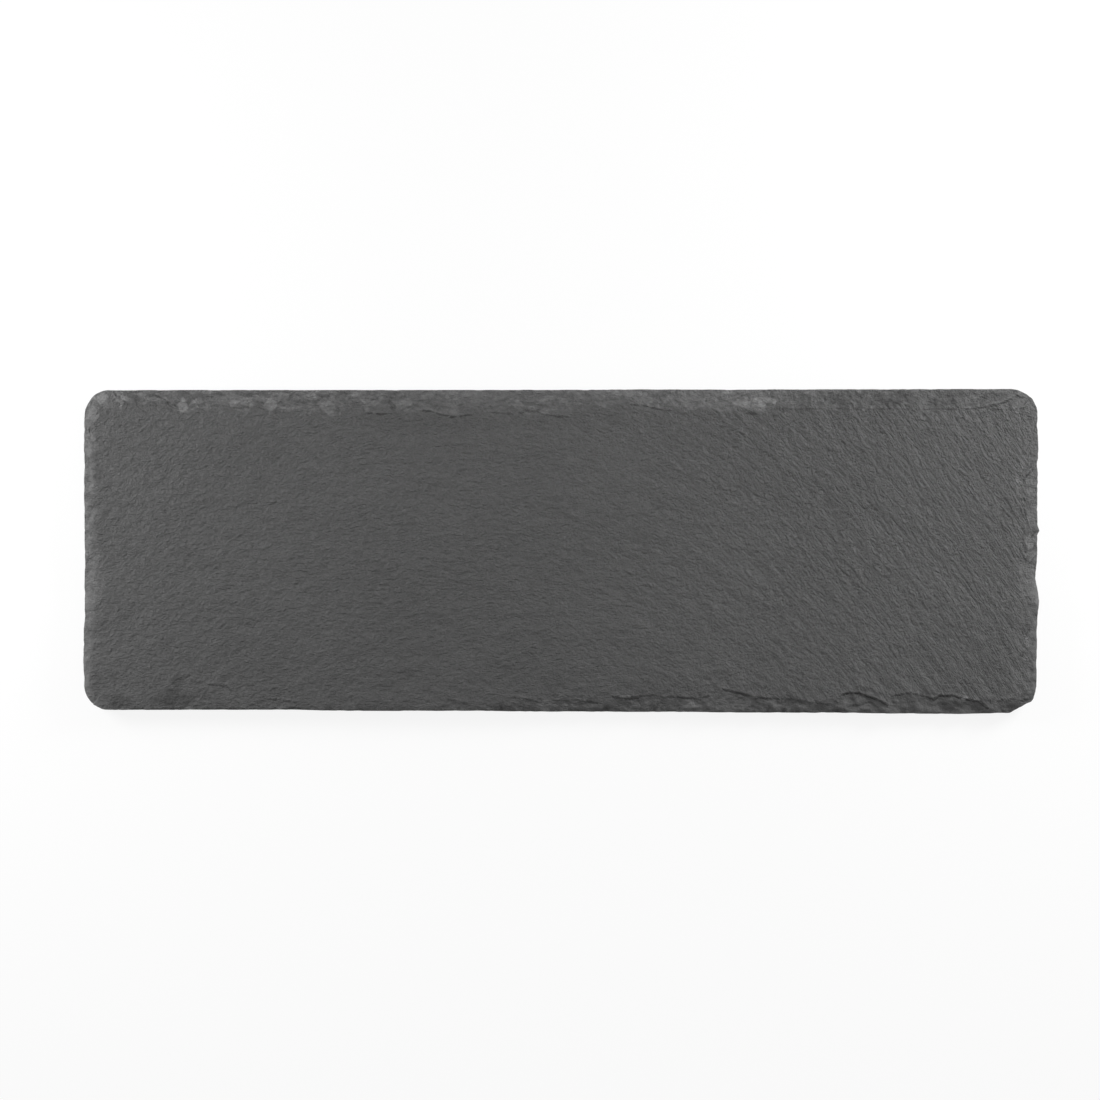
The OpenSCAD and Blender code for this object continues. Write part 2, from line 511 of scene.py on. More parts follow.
@dataclass(frozen=True)
class FilmFinish:
    """Milky double-sided adhesive film, a little cloudy and gritty at its cut edge.

    Attributes:
        brightness: share of the light that it sends back, on the whole.
        roughness: how rough it is, on the whole.
        tint: its hue, a little warm.
    """

    brightness: float = 0.5
    roughness: float = 0.38
    tint: tuple[float, float, float] = (1.0, 1.0, 0.95)

    def make(self) -> bpy.types.Material:
        """Builds the material.

        Returns:
            The material.
        """
        material, graph, shader = new_material("adhesive_film")
        at = graph.place()
        cloud = graph.noise(at, (1.8, 1.8, 1.8), 3, 0.6)
        grit = graph.noise(at, (0.3, 0.3, 0.3), 1, 0.5)
        albedo = self.brightness * (1.0 + cloud * 0.25 - grit.step(0.1, 0.3) * 0.3)
        rough = self.roughness + cloud * 0.2
        graph.cover(shader, graph.grey(albedo, self.tint), rough, graph.bump(cloud, 0.02))
        return material


# The slab's outline and scars


class Side(IntEnum):
    """The slab's sides, counterclockwise seen from above.

    A corner has the number of the side that follows it.
    """

    FRONT = 0
    RIGHT = 1
    BACK = 2
    LEFT = 3


# Tone above which a patch has a crisp border, and width of a usual crack in millimetres
CRISP_TONE = 0.2
HAIRLINE = 0.5
# Points of a rounded corner's arc
CORNER_POINTS = 17


@dataclass(frozen=True)
class Scar:
    """The hollow that one flake left.

    Attributes:
        place: share of the stretch between the side's corners, from its middle.
        reach: how far it runs in over the face, as a share of a usual flake's.
        radius: radius of its hollow, as a share of a usual flake's.
        lip: share of the slab's thickness that it leaves standing at the edge.
    """

    place: float
    reach: float
    radius: float
    lip: float


@dataclass(frozen=True)
class Ledge:
    """A step along the front, where the topmost layer has come off before a ragged line.

    Attributes:
        drop: height of the step, in millimetres.
        line: places along the front, in millimetres from its middle, each with
            the line's distance from the edge in millimetres.
    """

    drop: float
    line: tuple[tuple[float, float], ...]


@dataclass(frozen=True)
class Patch:
    """A spot of crushed, lighter stone, or of darker stone where its tone is negative.

    Attributes:
        x, y: its middle on the slab, in millimetres.
        length: size along x, in millimetres.
        width: size along y, in millimetres.
        tone: strength, from -1 to 1. Above CRISP_TONE its border is crisp.
    """

    x: float
    y: float
    length: float
    width: float
    tone: float


@dataclass(frozen=True)
class CrackShade:
    """A split in the stone, drawn as a thin dark line of painted shade, the shade in the split and under the
    layer's rim beside it.

    Attributes:
        dark: strength, from 0 to 1.
        line: points on the slab that it runs through, in millimetres.
        width: its width, in millimetres.
    """

    dark: float
    line: tuple[tuple[float, float], ...]
    width: float = HAIRLINE


# Dressed outline of each side, in shares of the run between its corners and of
# the slab's dip, then the broken corner's, in shares of its length and width
OUTLINE_SHARES = {
    Side.FRONT: (
        (-0.47, 0.94), (-0.40, 0.97), (-0.30, 1.00), (-0.25, 0.76), (-0.17, 0.71),
        (-0.09, 0.76), (-0.04, 0.56), (0.05, 0.48), (0.15, 0.45), (0.19, 0.32),
        (0.32, 0.24), (0.36, 0.12), (0.44, 0.00),
    ),
    Side.RIGHT: (
        (-0.25, 0.50), (-0.18, 0.08), (-0.15, 0.25), (-0.10, 0.85), (-0.01, 0.45),
        (0.06, 0.47), (0.075, 0.00), (0.10, 0.47), (0.22, 0.44), (0.28, 0.34),
        (0.31, 0.43), (0.37, 0.24), (0.46, 0.45),
    ),
    Side.BACK: (
        (-0.47, 0.00), (-0.32, 0.05), (-0.22, 0.07), (-0.19, 0.15), (-0.15, 0.07),
        (-0.06, 0.07), (-0.02, 0.14), (0.08, 0.18), (0.20, 0.20), (0.29, 0.21),
        (0.38, 0.19), (0.48, 0.22),
    ),
    Side.LEFT: (
        (-0.43, 0.20), (-0.37, 0.07), (-0.32, 0.25), (-0.22, 0.10), (-0.16, 0.24),
        (-0.04, 0.24), (0.02, 0.41), (0.13, 0.18), (0.20, 0.27), (0.31, 0.10),
        (0.39, 0.00), (0.45, 0.16),
    ),
}
CLIP_OUTLINE_SHARES = (
    (1.03, 0.08), (0.68, 0.47), (0.30, 0.85), (0.19, 1.05), (0.11, 1.60),
)

# Flake scars of each side, then the one in the middle of each corner
SCAR_SHARES = {
    Side.FRONT: (
        Scar(-0.49, 0.42, 0.70, 0.55), Scar(-0.445, 0.26, 0.60, 0.62), Scar(-0.405, 0.30, 0.60, 0.58),
        Scar(-0.36, 1.70, 2.60, 0.80), Scar(-0.32, 0.30, 0.60, 0.60), Scar(-0.28, 0.24, 0.60, 0.64),
        Scar(-0.24, 0.34, 0.70, 0.60), Scar(-0.20, 0.24, 0.60, 0.62), Scar(-0.16, 0.30, 0.60, 0.60),
        Scar(-0.115, 0.40, 0.70, 0.56), Scar(-0.075, 0.30, 0.60, 0.60), Scar(-0.035, 0.62, 0.90, 0.50),
        Scar(0.005, 0.80, 0.90, 0.48), Scar(0.04, 0.90, 0.90, 0.46), Scar(0.08, 0.92, 1.00, 0.44),
        Scar(0.12, 0.84, 0.90, 0.48), Scar(0.155, 0.80, 0.90, 0.44), Scar(0.20, 1.08, 1.30, 0.40),
        Scar(0.25, 0.78, 0.90, 0.46), Scar(0.29, 0.62, 0.80, 0.42), Scar(0.335, 1.10, 1.10, 0.40),
        Scar(0.375, 0.80, 0.90, 0.46), Scar(0.41, 1.00, 1.10, 0.40), Scar(0.455, 0.72, 0.90, 0.44),
        Scar(0.49, 0.62, 0.80, 0.40),
    ),
    Side.RIGHT: (
        Scar(-0.44, 0.55, 0.90, 0.36), Scar(-0.34, 0.48, 1.00, 0.30), Scar(-0.24, 0.58, 0.80, 0.34),
        Scar(-0.16, 0.44, 0.80, 0.26), Scar(-0.09, 0.80, 0.70, 0.22), Scar(0.00, 0.72, 1.00, 0.30),
        Scar(0.09, 0.50, 0.80, 0.36), Scar(0.18, 0.62, 1.10, 0.28), Scar(0.28, 0.74, 0.90, 0.32),
        Scar(0.38, 0.62, 0.90, 0.28), Scar(0.47, 0.60, 0.80, 0.34),
    ),
    Side.BACK: (
        Scar(-0.49, 0.95, 0.90, 0.22), Scar(-0.455, 0.95, 0.90, 0.26), Scar(-0.415, 1.14, 0.90, 0.22),
        Scar(-0.375, 0.88, 0.80, 0.28), Scar(-0.34, 0.96, 0.80, 0.22), Scar(-0.30, 0.92, 1.10, 0.26),
        Scar(-0.255, 0.86, 1.20, 0.22), Scar(-0.215, 1.05, 0.90, 0.26), Scar(-0.18, 1.00, 0.80, 0.22),
        Scar(-0.145, 1.02, 1.00, 0.28), Scar(-0.10, 0.90, 1.20, 0.22), Scar(-0.055, 0.76, 1.10, 0.26),
        Scar(-0.01, 1.08, 1.20, 0.22), Scar(0.035, 1.12, 1.10, 0.28), Scar(0.08, 1.08, 1.20, 0.22),
        Scar(0.125, 1.14, 1.30, 0.26), Scar(0.17, 1.05, 0.90, 0.22), Scar(0.215, 1.00, 1.20, 0.26),
        Scar(0.255, 1.18, 0.80, 0.22), Scar(0.285, 0.96, 0.90, 0.28), Scar(0.32, 1.14, 0.80, 0.22),
        Scar(0.355, 1.02, 0.80, 0.26), Scar(0.385, 0.98, 0.90, 0.22), Scar(0.42, 1.12, 0.70, 0.28),
        Scar(0.455, 0.90, 1.00, 0.22), Scar(0.495, 0.96, 0.80, 0.26),
    ),
    Side.LEFT: (
        Scar(-0.49, 0.85, 0.80, 0.32), Scar(-0.42, 0.66, 0.90, 0.28), Scar(-0.33, 0.55, 0.90, 0.30),
        Scar(-0.24, 0.60, 0.80, 0.34), Scar(-0.15, 0.58, 0.90, 0.30), Scar(-0.06, 0.54, 0.90, 0.34),
        Scar(0.03, 0.86, 0.90, 0.30), Scar(0.12, 0.92, 1.10, 0.26), Scar(0.21, 0.62, 0.80, 0.30),
        Scar(0.29, 0.58, 0.90, 0.34), Scar(0.38, 0.50, 0.90, 0.30), Scar(0.47, 0.42, 0.80, 0.34),
    ),
}
CORNER_SCAR_SHARES = (
    Scar(0.0, 0.55, 0.80, 0.30),
    Scar(0.0, 0.62, 0.80, 0.24),
    Scar(0.0, 0.85, 0.80, 0.28),
    Scar(0.0, 0.95, 0.80, 0.26),
)

# What the photograph shows of the broken front edge, of cracks and of light and dark stone
LEDGES = (
    Ledge(0.35, ((50.4, 7.6), (55.1, 6.6), (60.6, 5.2), (66.0, 4.7), (73.1, 4.5), (79.4, 3.4), (83.5, 2.8))),
    Ledge(0.4, ((87.2, 5.6), (90.3, 6.7), (93.5, 6.4), (97.4, 5.2), (100.5, 3.8), (102.5, 2.8))),
    Ledge(0.3, ((104.0, 5.8), (109.1, 6.6), (113.0, 5.8), (116.9, 4.6))),
    Ledge(0.4, ((116.5, 4.6), (118.5, 5.6), (122.4, 5.8), (127.1, 4.6), (131.0, 3.8), (134.0, 1.9))),
    Ledge(0.15, ((135.0, 3.2), (138.1, 4.5), (141.2, 4.8), (145.5, 3.8))),
    Ledge(0.125, ((-35.5, 3.5), (-32.5, 3.1), (-29.5, 2.6))),
    Ledge(0.2, ((-15.5, 4.5), (-11.3, 3.9), (-7.0, 2.8))),
    Ledge(0.15, ((-4.0, 3.4), (4.0, 3.6), (11.5, 2.7))),
    Ledge(0.35, ((15.8, 4.7), (19.2, 4.1), (23.9, 4.3), (28.6, 5.2), (32.5, 4.3), (35.7, 4.7))),
    Ledge(0.3, ((34.5, 4.6), (38.5, 4.3), (41.9, 4.2), (46.8, 5.0))),
)

# Each crack's dark line is painted shade, of the split and of the rim over it.
CRACK_SHADES = (
    CrackShade(0.64, ((-140.7, 50.0), (-138.5, 48.0), (-136.0, 46.4))),
    CrackShade(0.58, ((-128.5, 49.5), (-125.0, 48.0), (-121.0, 45.6))),
    CrackShade(0.51, ((-97.0, 46.6), (-93.5, 44.6), (-92.0, 44.2))),
    CrackShade(0.6, ((-61.4, 43.3), (-56.8, 43.1), (-53.0, 43.2))),
    CrackShade(0.77, ((-45.5, 43.9), (-41.0, 44.1), (-38.0, 43.0), (-34.0, 42.2), (-27.5, 43.0))),
    CrackShade(0.44, ((-23.5, 43.9), (-18.5, 43.3), (-14.0, 42.7), (-10.8, 44.2), (-7.0, 43.7))),
    CrackShade(0.64, ((-5.8, 43.1), (0.0, 42.2), (5.0, 41.8))),
    CrackShade(0.77, ((21.9, 46.0), (26.0, 45.6), (30.0, 44.7), (34.5, 44.1))),
    CrackShade(0.44, ((54.5, 47.8), (58.0, 49.3), (63.4, 50.2))),
    CrackShade(0.51, ((58.3, 43.3), (60.8, 43.3)), 0.9),
    CrackShade(0.42, ((64.0, 44.8), (75.0, 44.7), (88.0, 44.9), (101.0, 44.7), (112.0, 44.5), (124.0, 44.7))),
    CrackShade(0.77, ((127.0, 44.6), (133.0, 45.2), (138.5, 46.6), (143.0, 48.9), (146.0, 48.0))),
    CrackShade(0.71, ((133.8, 44.7), (140.0, 44.4), (145.0, 44.8))),
    CrackShade(0.64, ((149.0, 26.8), (145.2, 23.0), (144.5, 21.1))),
    CrackShade(0.5, ((149.0, -0.9), (146.5, -4.0))),
    CrackShade(0.38, ((149.0, 6.5), (146.0, 3.0), (145.5, -1.0))),
    CrackShade(0.75, ((50.4, -43.2), (55.1, -44.2), (60.6, -45.6), (66.0, -46.1)), 0.6),
    CrackShade(0.45, ((66.0, -46.1), (73.1, -46.3), (79.4, -47.5), (83.3, -47.9))),
    CrackShade(
        0.8,
        ((87.2, -45.3), (90.3, -44.2), (93.5, -44.5), (97.4, -45.7), (100.5, -47.1), (102.4, -48.1)),
        0.6,
    ),
    CrackShade(0.7, ((104.4, -45.1), (109.1, -44.3), (113.0, -45.1), (116.9, -46.3))),
    CrackShade(
        0.85,
        ((116.9, -46.3), (118.5, -45.3), (122.4, -45.1), (127.1, -46.3), (131.0, -47.1), (133.7, -49.0)),
        0.8,
    ),
    CrackShade(0.6, ((135.3, -47.8), (138.1, -46.5), (141.2, -46.1), (145.5, -47.1))),
    CrackShade(0.5, ((-35.4, -46.5), (-32.0, -47.0), (-29.7, -47.6))),
    CrackShade(0.6, ((-15.3, -45.5), (-11.3, -46.1), (-7.4, -47.1))),
    CrackShade(0.4, ((-3.5, -46.7), (4.0, -46.5), (11.3, -47.5))),
    CrackShade(0.8, ((16.1, -45.5), (19.2, -46.1), (23.9, -45.9)), 0.8),
    CrackShade(
        0.7,
        ((24.7, -45.3), (28.6, -45.0), (32.5, -45.9), (35.7, -45.5), (41.9, -46.1), (46.6, -45.3)),
        0.6,
    ),
    CrackShade(0.5, ((-115.9, -40.5), (-110.0, -41.6), (-105.0, -42.2), (-103.3, -43.6)), 0.7),
    CrackShade(0.4, ((-104.5, -46.4), (-100.8, -47.2))),
    CrackShade(0.5, ((-92.0, -46.3), (-87.0, -46.6), (-83.2, -47.3))),
    CrackShade(0.5, ((-85.7, -48.5), (-81.9, -49.2))),
    CrackShade(0.4, ((-135.0, -49.3), (-120.0, -49.4), (-108.0, -49.2), (-96.0, -49.3))),
)

PATCHES = (
    Patch(-118.7, 45.8, 4.0, 6.0, 0.72),
    Patch(-103.3, 46.8, 4.0, 3.6, 0.36),
    Patch(-91.0, 46.0, 4.4, 6.4, 0.65),
    Patch(-73.0, 45.2, 6.6, 5.0, 0.44),
    Patch(-78.0, 48.4, 6.0, 2.4, 0.39),
    Patch(-48.6, 46.8, 6.0, 3.4, 0.33),
    Patch(-144.6, 48.4, 5.6, 4.6, 0.7),
    Patch(-138.0, 47.6, 3.0, 4.6, 0.5),
    Patch(-147.0, 43.0, 5.0, 6.0, 0.5),
    Patch(-147.6, 35.6, 3.2, 6.0, 0.4),
    Patch(-148.2, 31.2, 2.4, 4.0, 0.4),
    Patch(-147.7, 24.3, 4.0, 6.0, 0.2),
    Patch(-146.7, 19.9, 4.0, 8.0, 0.2),
    Patch(-145.9, 11.4, 4.0, 8.0, 0.18),
    Patch(-145.4, -8.0, 5.0, 22.0, 0.1),
    Patch(-148.0, 24.0, 8.0, 36.0, -0.08),
    Patch(63.0, 47.2, 13.0, 3.4, 0.6),
    Patch(58.0, 46.6, 12.0, 3.4, 0.35),
    Patch(-30.0, 41.2, 130.0, 9.0, -0.05),
    Patch(141.0, -48.4, 11.0, 4.4, -0.16),
    Patch(53.5, 49.8, 7.0, 2.0, 0.45),
    Patch(21.0, 49.6, 16.0, 2.4, 0.33),
    Patch(59.6, 43.6, 4.0, 2.6, -0.2),
    Patch(103.3, 46.4, 7.0, 4.4, -0.22),
    Patch(117.4, 45.8, 8.0, 6.6, -0.2),
    Patch(86.0, 47.6, 9.0, 4.0, -0.1),
    Patch(73.0, 48.6, 9.0, 3.0, -0.08),
    Patch(136.0, 48.6, 9.0, 3.4, -0.14),
    Patch(-138.5, -46.8, 9.0, 5.6, -0.22),
    Patch(-122.0, -46.2, 15.0, 7.5, -0.24),
    Patch(-120.0, -40.5, 5.0, 7.0, -0.22),
    Patch(126.5, -46.0, 3.4, 0.9, 0.78),
    Patch(144.4, 26.5, 3.0, 6.5, 0.25),
    Patch(147.2, 21.1, 4.4, 12.0, 0.22),
    Patch(147.2, 10.2, 5.0, 7.0, 0.22),
    Patch(147.0, 3.0, 5.0, 5.6, 0.42),
    Patch(146.2, -2.7, 2.6, 4.0, -0.3),
    Patch(146.2, -24.3, 3.4, 5.0, -0.25),
    Patch(146.2, -28.4, 3.0, 4.0, 0.3),
    Patch(144.7, -32.1, 2.0, 3.0, -0.25),
    Patch(21.8, -45.2, 2.6, 0.9, 0.78),
    Patch(40.3, -48.4, 5.0, 2.6, 0.45),
    Patch(9.0, -48.2, 48.0, 4.6, -0.12),
    Patch(20.5, -47.2, 9.0, 3.4, -0.16),
    Patch(60.0, -47.2, 18.0, 3.0, -0.12),
    Patch(94.5, -46.6, 15.0, 3.0, -0.16),
    Patch(124.0, -47.6, 16.0, 3.0, -0.14),
    Patch(1.2, -47.9, 3.0, 1.6, 0.35),
)


def turned(points: Array, side: int) -> Array:
    """Points of a slab whose side faces the front, turned to where the side is.

    Args:
        points: the points, one to a row.
        side: the side's number.

    Returns:
        The points after a turn by so many quarters.
    """
    angle = side * QUARTER_TURN
    turn = np.array([[math.cos(angle), math.sin(angle)], [-math.sin(angle), math.cos(angle)]])
    return np.asarray(points, float) @ turn


@dataclass(frozen=True)
class SlabShape:
    """The slab's sizes, in millimetres, and the shape of its outline and scars.

    Attributes:
        length, width, thickness: its overall size.
        corner_radius: radius of the three rounded corners.
        clip_length, clip_width: size of the broken corner along x and y.
        dip: deepest dip of the dressed outline behind the overall size.
        scar_reach: reach of a usual flake scar, from the edge in over the face.
        scar_radius: radius of the hollow that a usual flake leaves.
        small_scar_pitch: distance between the small flakes along the edge.
    """

    length: float
    width: float
    thickness: float
    corner_radius: float = 8.0
    clip_length: float = 9.0
    clip_width: float = 4.5
    dip: float = 1.4
    scar_reach: float = 7.0
    scar_radius: float = 18.0
    small_scar_pitch: float = 5.5

    def run(self, side: int) -> float:
        """Stretch of a side between its corners."""
        return (self.width if side % 2 else self.length) - 2 * self.corner_radius

    def far(self, side: int) -> float:
        """Distance of a side of the overall size from the middle of the slab."""
        return (self.length if side % 2 else self.width) / 2

    def dip_at(self, side: int, place: Union[Array, float]) -> Union[Array, float]:
        """How far the dressed outline lies behind the overall size, at a place in millimetres."""
        shares = np.array(OUTLINE_SHARES[Side(side)])
        return np.interp(place, shares[:, 0] * self.run(side), shares[:, 1] * self.dip)

    def on_side(self, side: int, place: Union[Array, float]) -> Array:
        """The outline's points along a side.

        Args:
            side: the side's number.
            place: places in millimetres from the side's middle, counterclockwise.

        Returns:
            The points, one to a row.
        """
        place = np.atleast_1d(place)
        return turned(np.stack([place, self.dip_at(side, place) - self.far(side)], 1), side)

    def corner(self, corner: int) -> Array:
        """The outline's points at a corner: an arc of a quarter turn, or the broken corner.

        Args:
            corner: the number of the side that follows the corner.

        Returns:
            The points, one to a row, counterclockwise.
        """
        if corner == Side.RIGHT:
            shares = np.array(CLIP_OUTLINE_SHARES)
            tip = np.array([self.length / 2, -self.width / 2])
            return tip + shares * [-self.clip_length, self.clip_width]
        before = self.dip_at((corner - 1) % len(Side), self.run(corner - 1))
        after = self.dip_at(corner, -self.run(corner))
        centre = np.array([before - self.far(corner + 1), after - self.far(corner)]) + self.corner_radius
        angle = np.linspace(math.pi, math.pi + QUARTER_TURN, CORNER_POINTS)
        arc = centre + self.corner_radius * np.stack([np.cos(angle), np.sin(angle)], 1)
        return turned(arc, corner)

    def outline(self) -> Array:
        """The slab's outline.

        Returns:
            Its points, one to a row, counterclockwise from the front left corner.
        """
        parts = []
        for side in Side:
            places = np.array(OUTLINE_SHARES[side])[:, 0] * self.run(side)
            parts += [self.corner(side), self.on_side(side, places)]
        return np.concatenate(parts)

    def inset(self, x: Array, y: Array) -> tuple[Array, Array, Array]:
        """Distance from the outline, and the side and the place along it.

        The distance is that from a rectangle with rounded corners, less the dip
        of the nearest side's outline, or that from the broken corner's chord
        where that is less.

        Args:
            x, y: points on the slab.

        Returns:
            The distance inwards, the side's number and the place along it.
        """
        over_x = np.abs(x) - (self.length / 2 - self.corner_radius)
        over_y = np.abs(y) - (self.width / 2 - self.corner_radius)
        outside = np.hypot(np.maximum(over_x, 0), np.maximum(over_y, 0))
        inward = self.corner_radius - outside - np.minimum(np.maximum(over_x, over_y), 0)
        across_end = over_x > over_y
        end, long_side = np.where(x > 0, Side.RIGHT, Side.LEFT), np.where(y > 0, Side.BACK, Side.FRONT)
        side = np.where(across_end, end, long_side)
        place = np.choose(side, [x, y, -x, -y])
        dips = np.choose(side, [self.dip_at(s, place) for s in Side])
        chord = np.array([self.clip_width, self.clip_length])
        chord_way = (self.length / 2 - x) * chord[0] + (y + self.width / 2) * chord[1]
        from_chord = (chord_way - self.clip_length * self.clip_width) / np.linalg.norm(chord)
        return np.minimum(inward - dips, from_chord), side, place

    def ball(self, edge: Array, turn: float, scar: Scar) -> Array:
        """The ball whose lower surface is a scar.

        It passes through the lip that is left standing at the edge and through
        the scar's end on the face.

        Args:
            edge: the scar's middle on the outline.
            turn: which way the outline faces there, 0 for the front.
            scar: the scar's shares.

        Returns:
            The ball's centre above the upper face's plane, and its radius.
        """
        reach = scar.reach * self.scar_reach
        radius = scar.radius * self.scar_radius
        rise = self.thickness * (1 - scar.lip)
        chord = math.hypot(reach, rise)
        height = math.sqrt(radius**2 - chord**2 / 4)
        inward = reach / 2 - height * rise / chord
        return np.array([
            edge[0] - math.sin(turn) * inward,
            edge[1] + math.cos(turn) * inward,
            height * reach / chord - rise / 2,
            radius,
        ])

    def main_balls(self) -> Array:
        """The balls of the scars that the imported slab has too.

        Returns:
            One ball to a row.
        """
        balls = []
        for side in Side:
            turn = side * QUARTER_TURN
            for scar in SCAR_SHARES[side]:
                balls.append(self.ball(self.on_side(side, scar.place * self.run(side))[0], turn, scar))
            middle = self.corner(side)[len(self.corner(side)) // 2]
            if side == Side.RIGHT:
                middle = np.array([self.length - self.clip_length, self.clip_width - self.width]) / 2
                turn = math.atan2(self.clip_width, self.clip_length)
            else:
                turn -= QUARTER_TURN / 2
            balls.append(self.ball(middle, turn, CORNER_SCAR_SHARES[side]))
        return np.array(balls)

    def small_balls(self, seed: int) -> Array:
        """Balls of small flakes at random places along all the sides.

        Args:
            seed: which of the random patterns.

        Returns:
            One ball to a row.
        """
        rng = np.random.default_rng(seed)
        balls = []
        for side in Side:
            places = np.arange(-self.run(side) / 2, self.run(side) / 2, self.small_scar_pitch)
            places += rng.uniform(-0.4, 0.4, len(places)) * self.small_scar_pitch
            for place in places:
                scar = Scar(0.0, rng.uniform(0.14, 0.4), rng.uniform(0.25, 0.6), rng.uniform(0.35, 0.7))
                turn = side * QUARTER_TURN + rng.uniform(-0.35, 0.35)
                balls.append(self.ball(self.on_side(side, place)[0], turn, scar))
        return np.array(balls)


# Steps in which the outline is searched for the points nearest to its box's corners
TRACE_STEPS = 16000
# How far below a crack's line of painted shade its painted highlight lies
HIGHLIGHT_REACH = 0.6
# Distance from a crack past which it no longer matters
FAR_AWAY = 4.0
# How roughly the stone of the wall broke, and the angle past which an edge stays sharp
WALL_BROKEN = 0.7
SHARP_ANGLE = math.radians(38)


@dataclass
class SlateSlab:
    """The slab of slate: one closed mesh with riven faces and dressed edges, in millimetres.

    Attributes:
        shape: its sizes, outline and scars.
        low: height of its underside.
        grain: the direction of its grain.
        feet: middle of each foot, where the underside is flat.
        foot_radius: radius of a foot.
        rim: width of the band along the edge that has the finer mesh.
        cells_x, cells_y: cells of the coarser mesh on the face inside the rim.
        inner_rows, edge_rows: rings of the rim's inner part and of its dressed part.
        inner_share: share of the rim that its inner part takes.
        wall_rows: rings down the wall.
        under_fine, under_coarse: how far in from the edge the underside's rings lie,
            those with as many points as the edge and those with half as many.
        allowance: how far the riven face's mean lies below the slab's overall height.
        layer: thickness of the layers that the stone breaks in.
        least_left: thickness that the dressing leaves at least.
        probe: how far apart depths are compared, to tell ridges from hollows.
    """

    shape: SlabShape
    low: float
    grain: Grain
    feet: Array
    foot_radius: float
    rim: float = 13.2
    cells_x: int = 320
    cells_y: int = 90
    inner_rows: int = 5
    edge_rows: int = 18
    inner_share: float = 0.34
    wall_rows: int = 5
    under_fine: tuple[float, ...] = (0.6, 1.3, 2.3, 3.6)
    under_coarse: tuple[float, ...] = (5.2, 6.8, 8.4, 10.0, 11.6)
    allowance: float = 0.45
    layer: float = 0.62
    least_left: float = 0.8
    probe: float = 0.6

    def __post_init__(self) -> None:
        """Places the balls that cut the scars, and shifts the layers under each by a share of one."""
        self.balls = np.concatenate([self.shape.main_balls(), self.shape.small_balls(seed=11)])
        self.ball_phase = np.random.default_rng(5).uniform(0, 1, len(self.balls))

    def face_relief(self, x: Array, y: Array) -> Array:
        """Heights of the riven face: broad waves, then swells and streaks.

        At the left the swells lie along x, and towards the right they and the
        streaks follow the grain.

        Args:
            x, y: points on the slab.

        Returns:
            Heights about a mean of 0.
        """
        across = self.grain.across(x, y)
        right = smooth_step(x, -10.0, 110.0)
        waves = fractal_noise(x / 70, y / 55, 2, 21) * 0.07
        bent = y + (across - y) * right
        swells = fractal_noise(x / 13, bent / 10, 3, 31, gain=0.85) * 0.16
        streaks = fractal_noise(x / 6.0, across / 4.4, 2, 51, gain=0.7) * 0.05 * right
        return waves + swells + streaks

    def scar_depth(self, x: Array, y: Array) -> tuple[Array, Array]:
        """Depth of the balls' cuts below the face.

        A ball with centre c and radius r cuts down to c_z - sqrt(r^2 - d^2) at
        the distance d from its axis. The places are first moved by noise, which
        makes the scars' borders ragged. The whole depth is the fourth root of
        the sum of the cuts' fourth powers, which blunts the ridges between them.

        Args:
            x, y: points on the slab.

        Returns:
            The whole depth, and the number of the ball that cuts deepest.
        """

        def moved(part: Array, seed: int) -> Array:
            """One of the coordinates, moved by fine and by broad noise."""
            fine, broad = fractal_noise(x / 3.2, y / 3.2, 3, seed), gradient_noise(x / 9, y / 9, seed + 3)
            return part + fine * 0.38 + broad * 0.5

        moved_x, moved_y = moved(x, 61), moved(y, 71)
        depth = np.zeros(x.shape)
        total = np.zeros(x.shape)
        owner = np.zeros(x.shape, int)
        for number, (centre_x, centre_y, centre_z, radius) in enumerate(self.balls):
            inside = radius**2 - (moved_x - centre_x) ** 2 - (moved_y - centre_y) ** 2
            cut = np.where(inside > 0, np.sqrt(np.maximum(inside, 0)) - centre_z, 0)
            deeper = cut > depth
            depth = np.where(deeper, cut, depth)
            owner = np.where(deeper, number, owner)
            total += np.maximum(cut, 0) ** 4
        return total**0.25, owner

    def layered(self, depth: Array, phase: Array, share: Array) -> Array:
        """A depth turned into the stairs of a layered stone.

        depth / layer + phase is rounded to whole layers with a short ramp
        between them, and blended with the plain depth by share.

        Args:
            depth: the plain depth.
            phase: how far the layers are shifted, as a share of one.
            share: how much of the stairs shows.

        Returns:
            The new depth.
        """
        stairs = depth / self.layer + phase
        whole = np.floor(stairs)
        stepped = (whole + smooth_step(stairs - whole, 0.55, 0.95) - phase) * self.layer
        share = share * smooth_step(depth, 0.0, 0.5)
        return np.maximum(depth * (1 - share) + stepped * share, 0)

    def ledge_depth(self, inset: Array, side: Array, place: Array) -> Array:
        """Depth of the ledges: a step down before each ragged line, fading out at its ends.

        Args:
            inset, side, place: distance from the edge, nearest side and place along it.

        Returns:
            The depth that they add.
        """
        ragged = fractal_noise(place / 3.0, inset / 6.0, 3, 81) * 0.32
        depth = np.zeros(inset.shape)
        for ledge in LEDGES:
            places, insets = np.array(ledge.line).T
            border = np.interp(place, places, insets) + ragged
            fading = smooth_step(np.minimum(place - places[0], places[-1] - place), 0.0, 2.6)
            depth = np.maximum(depth, ledge.drop * fading * smooth_step(border - inset, 0.0, 0.5))
        return np.where(side == Side.FRONT, depth, 0)

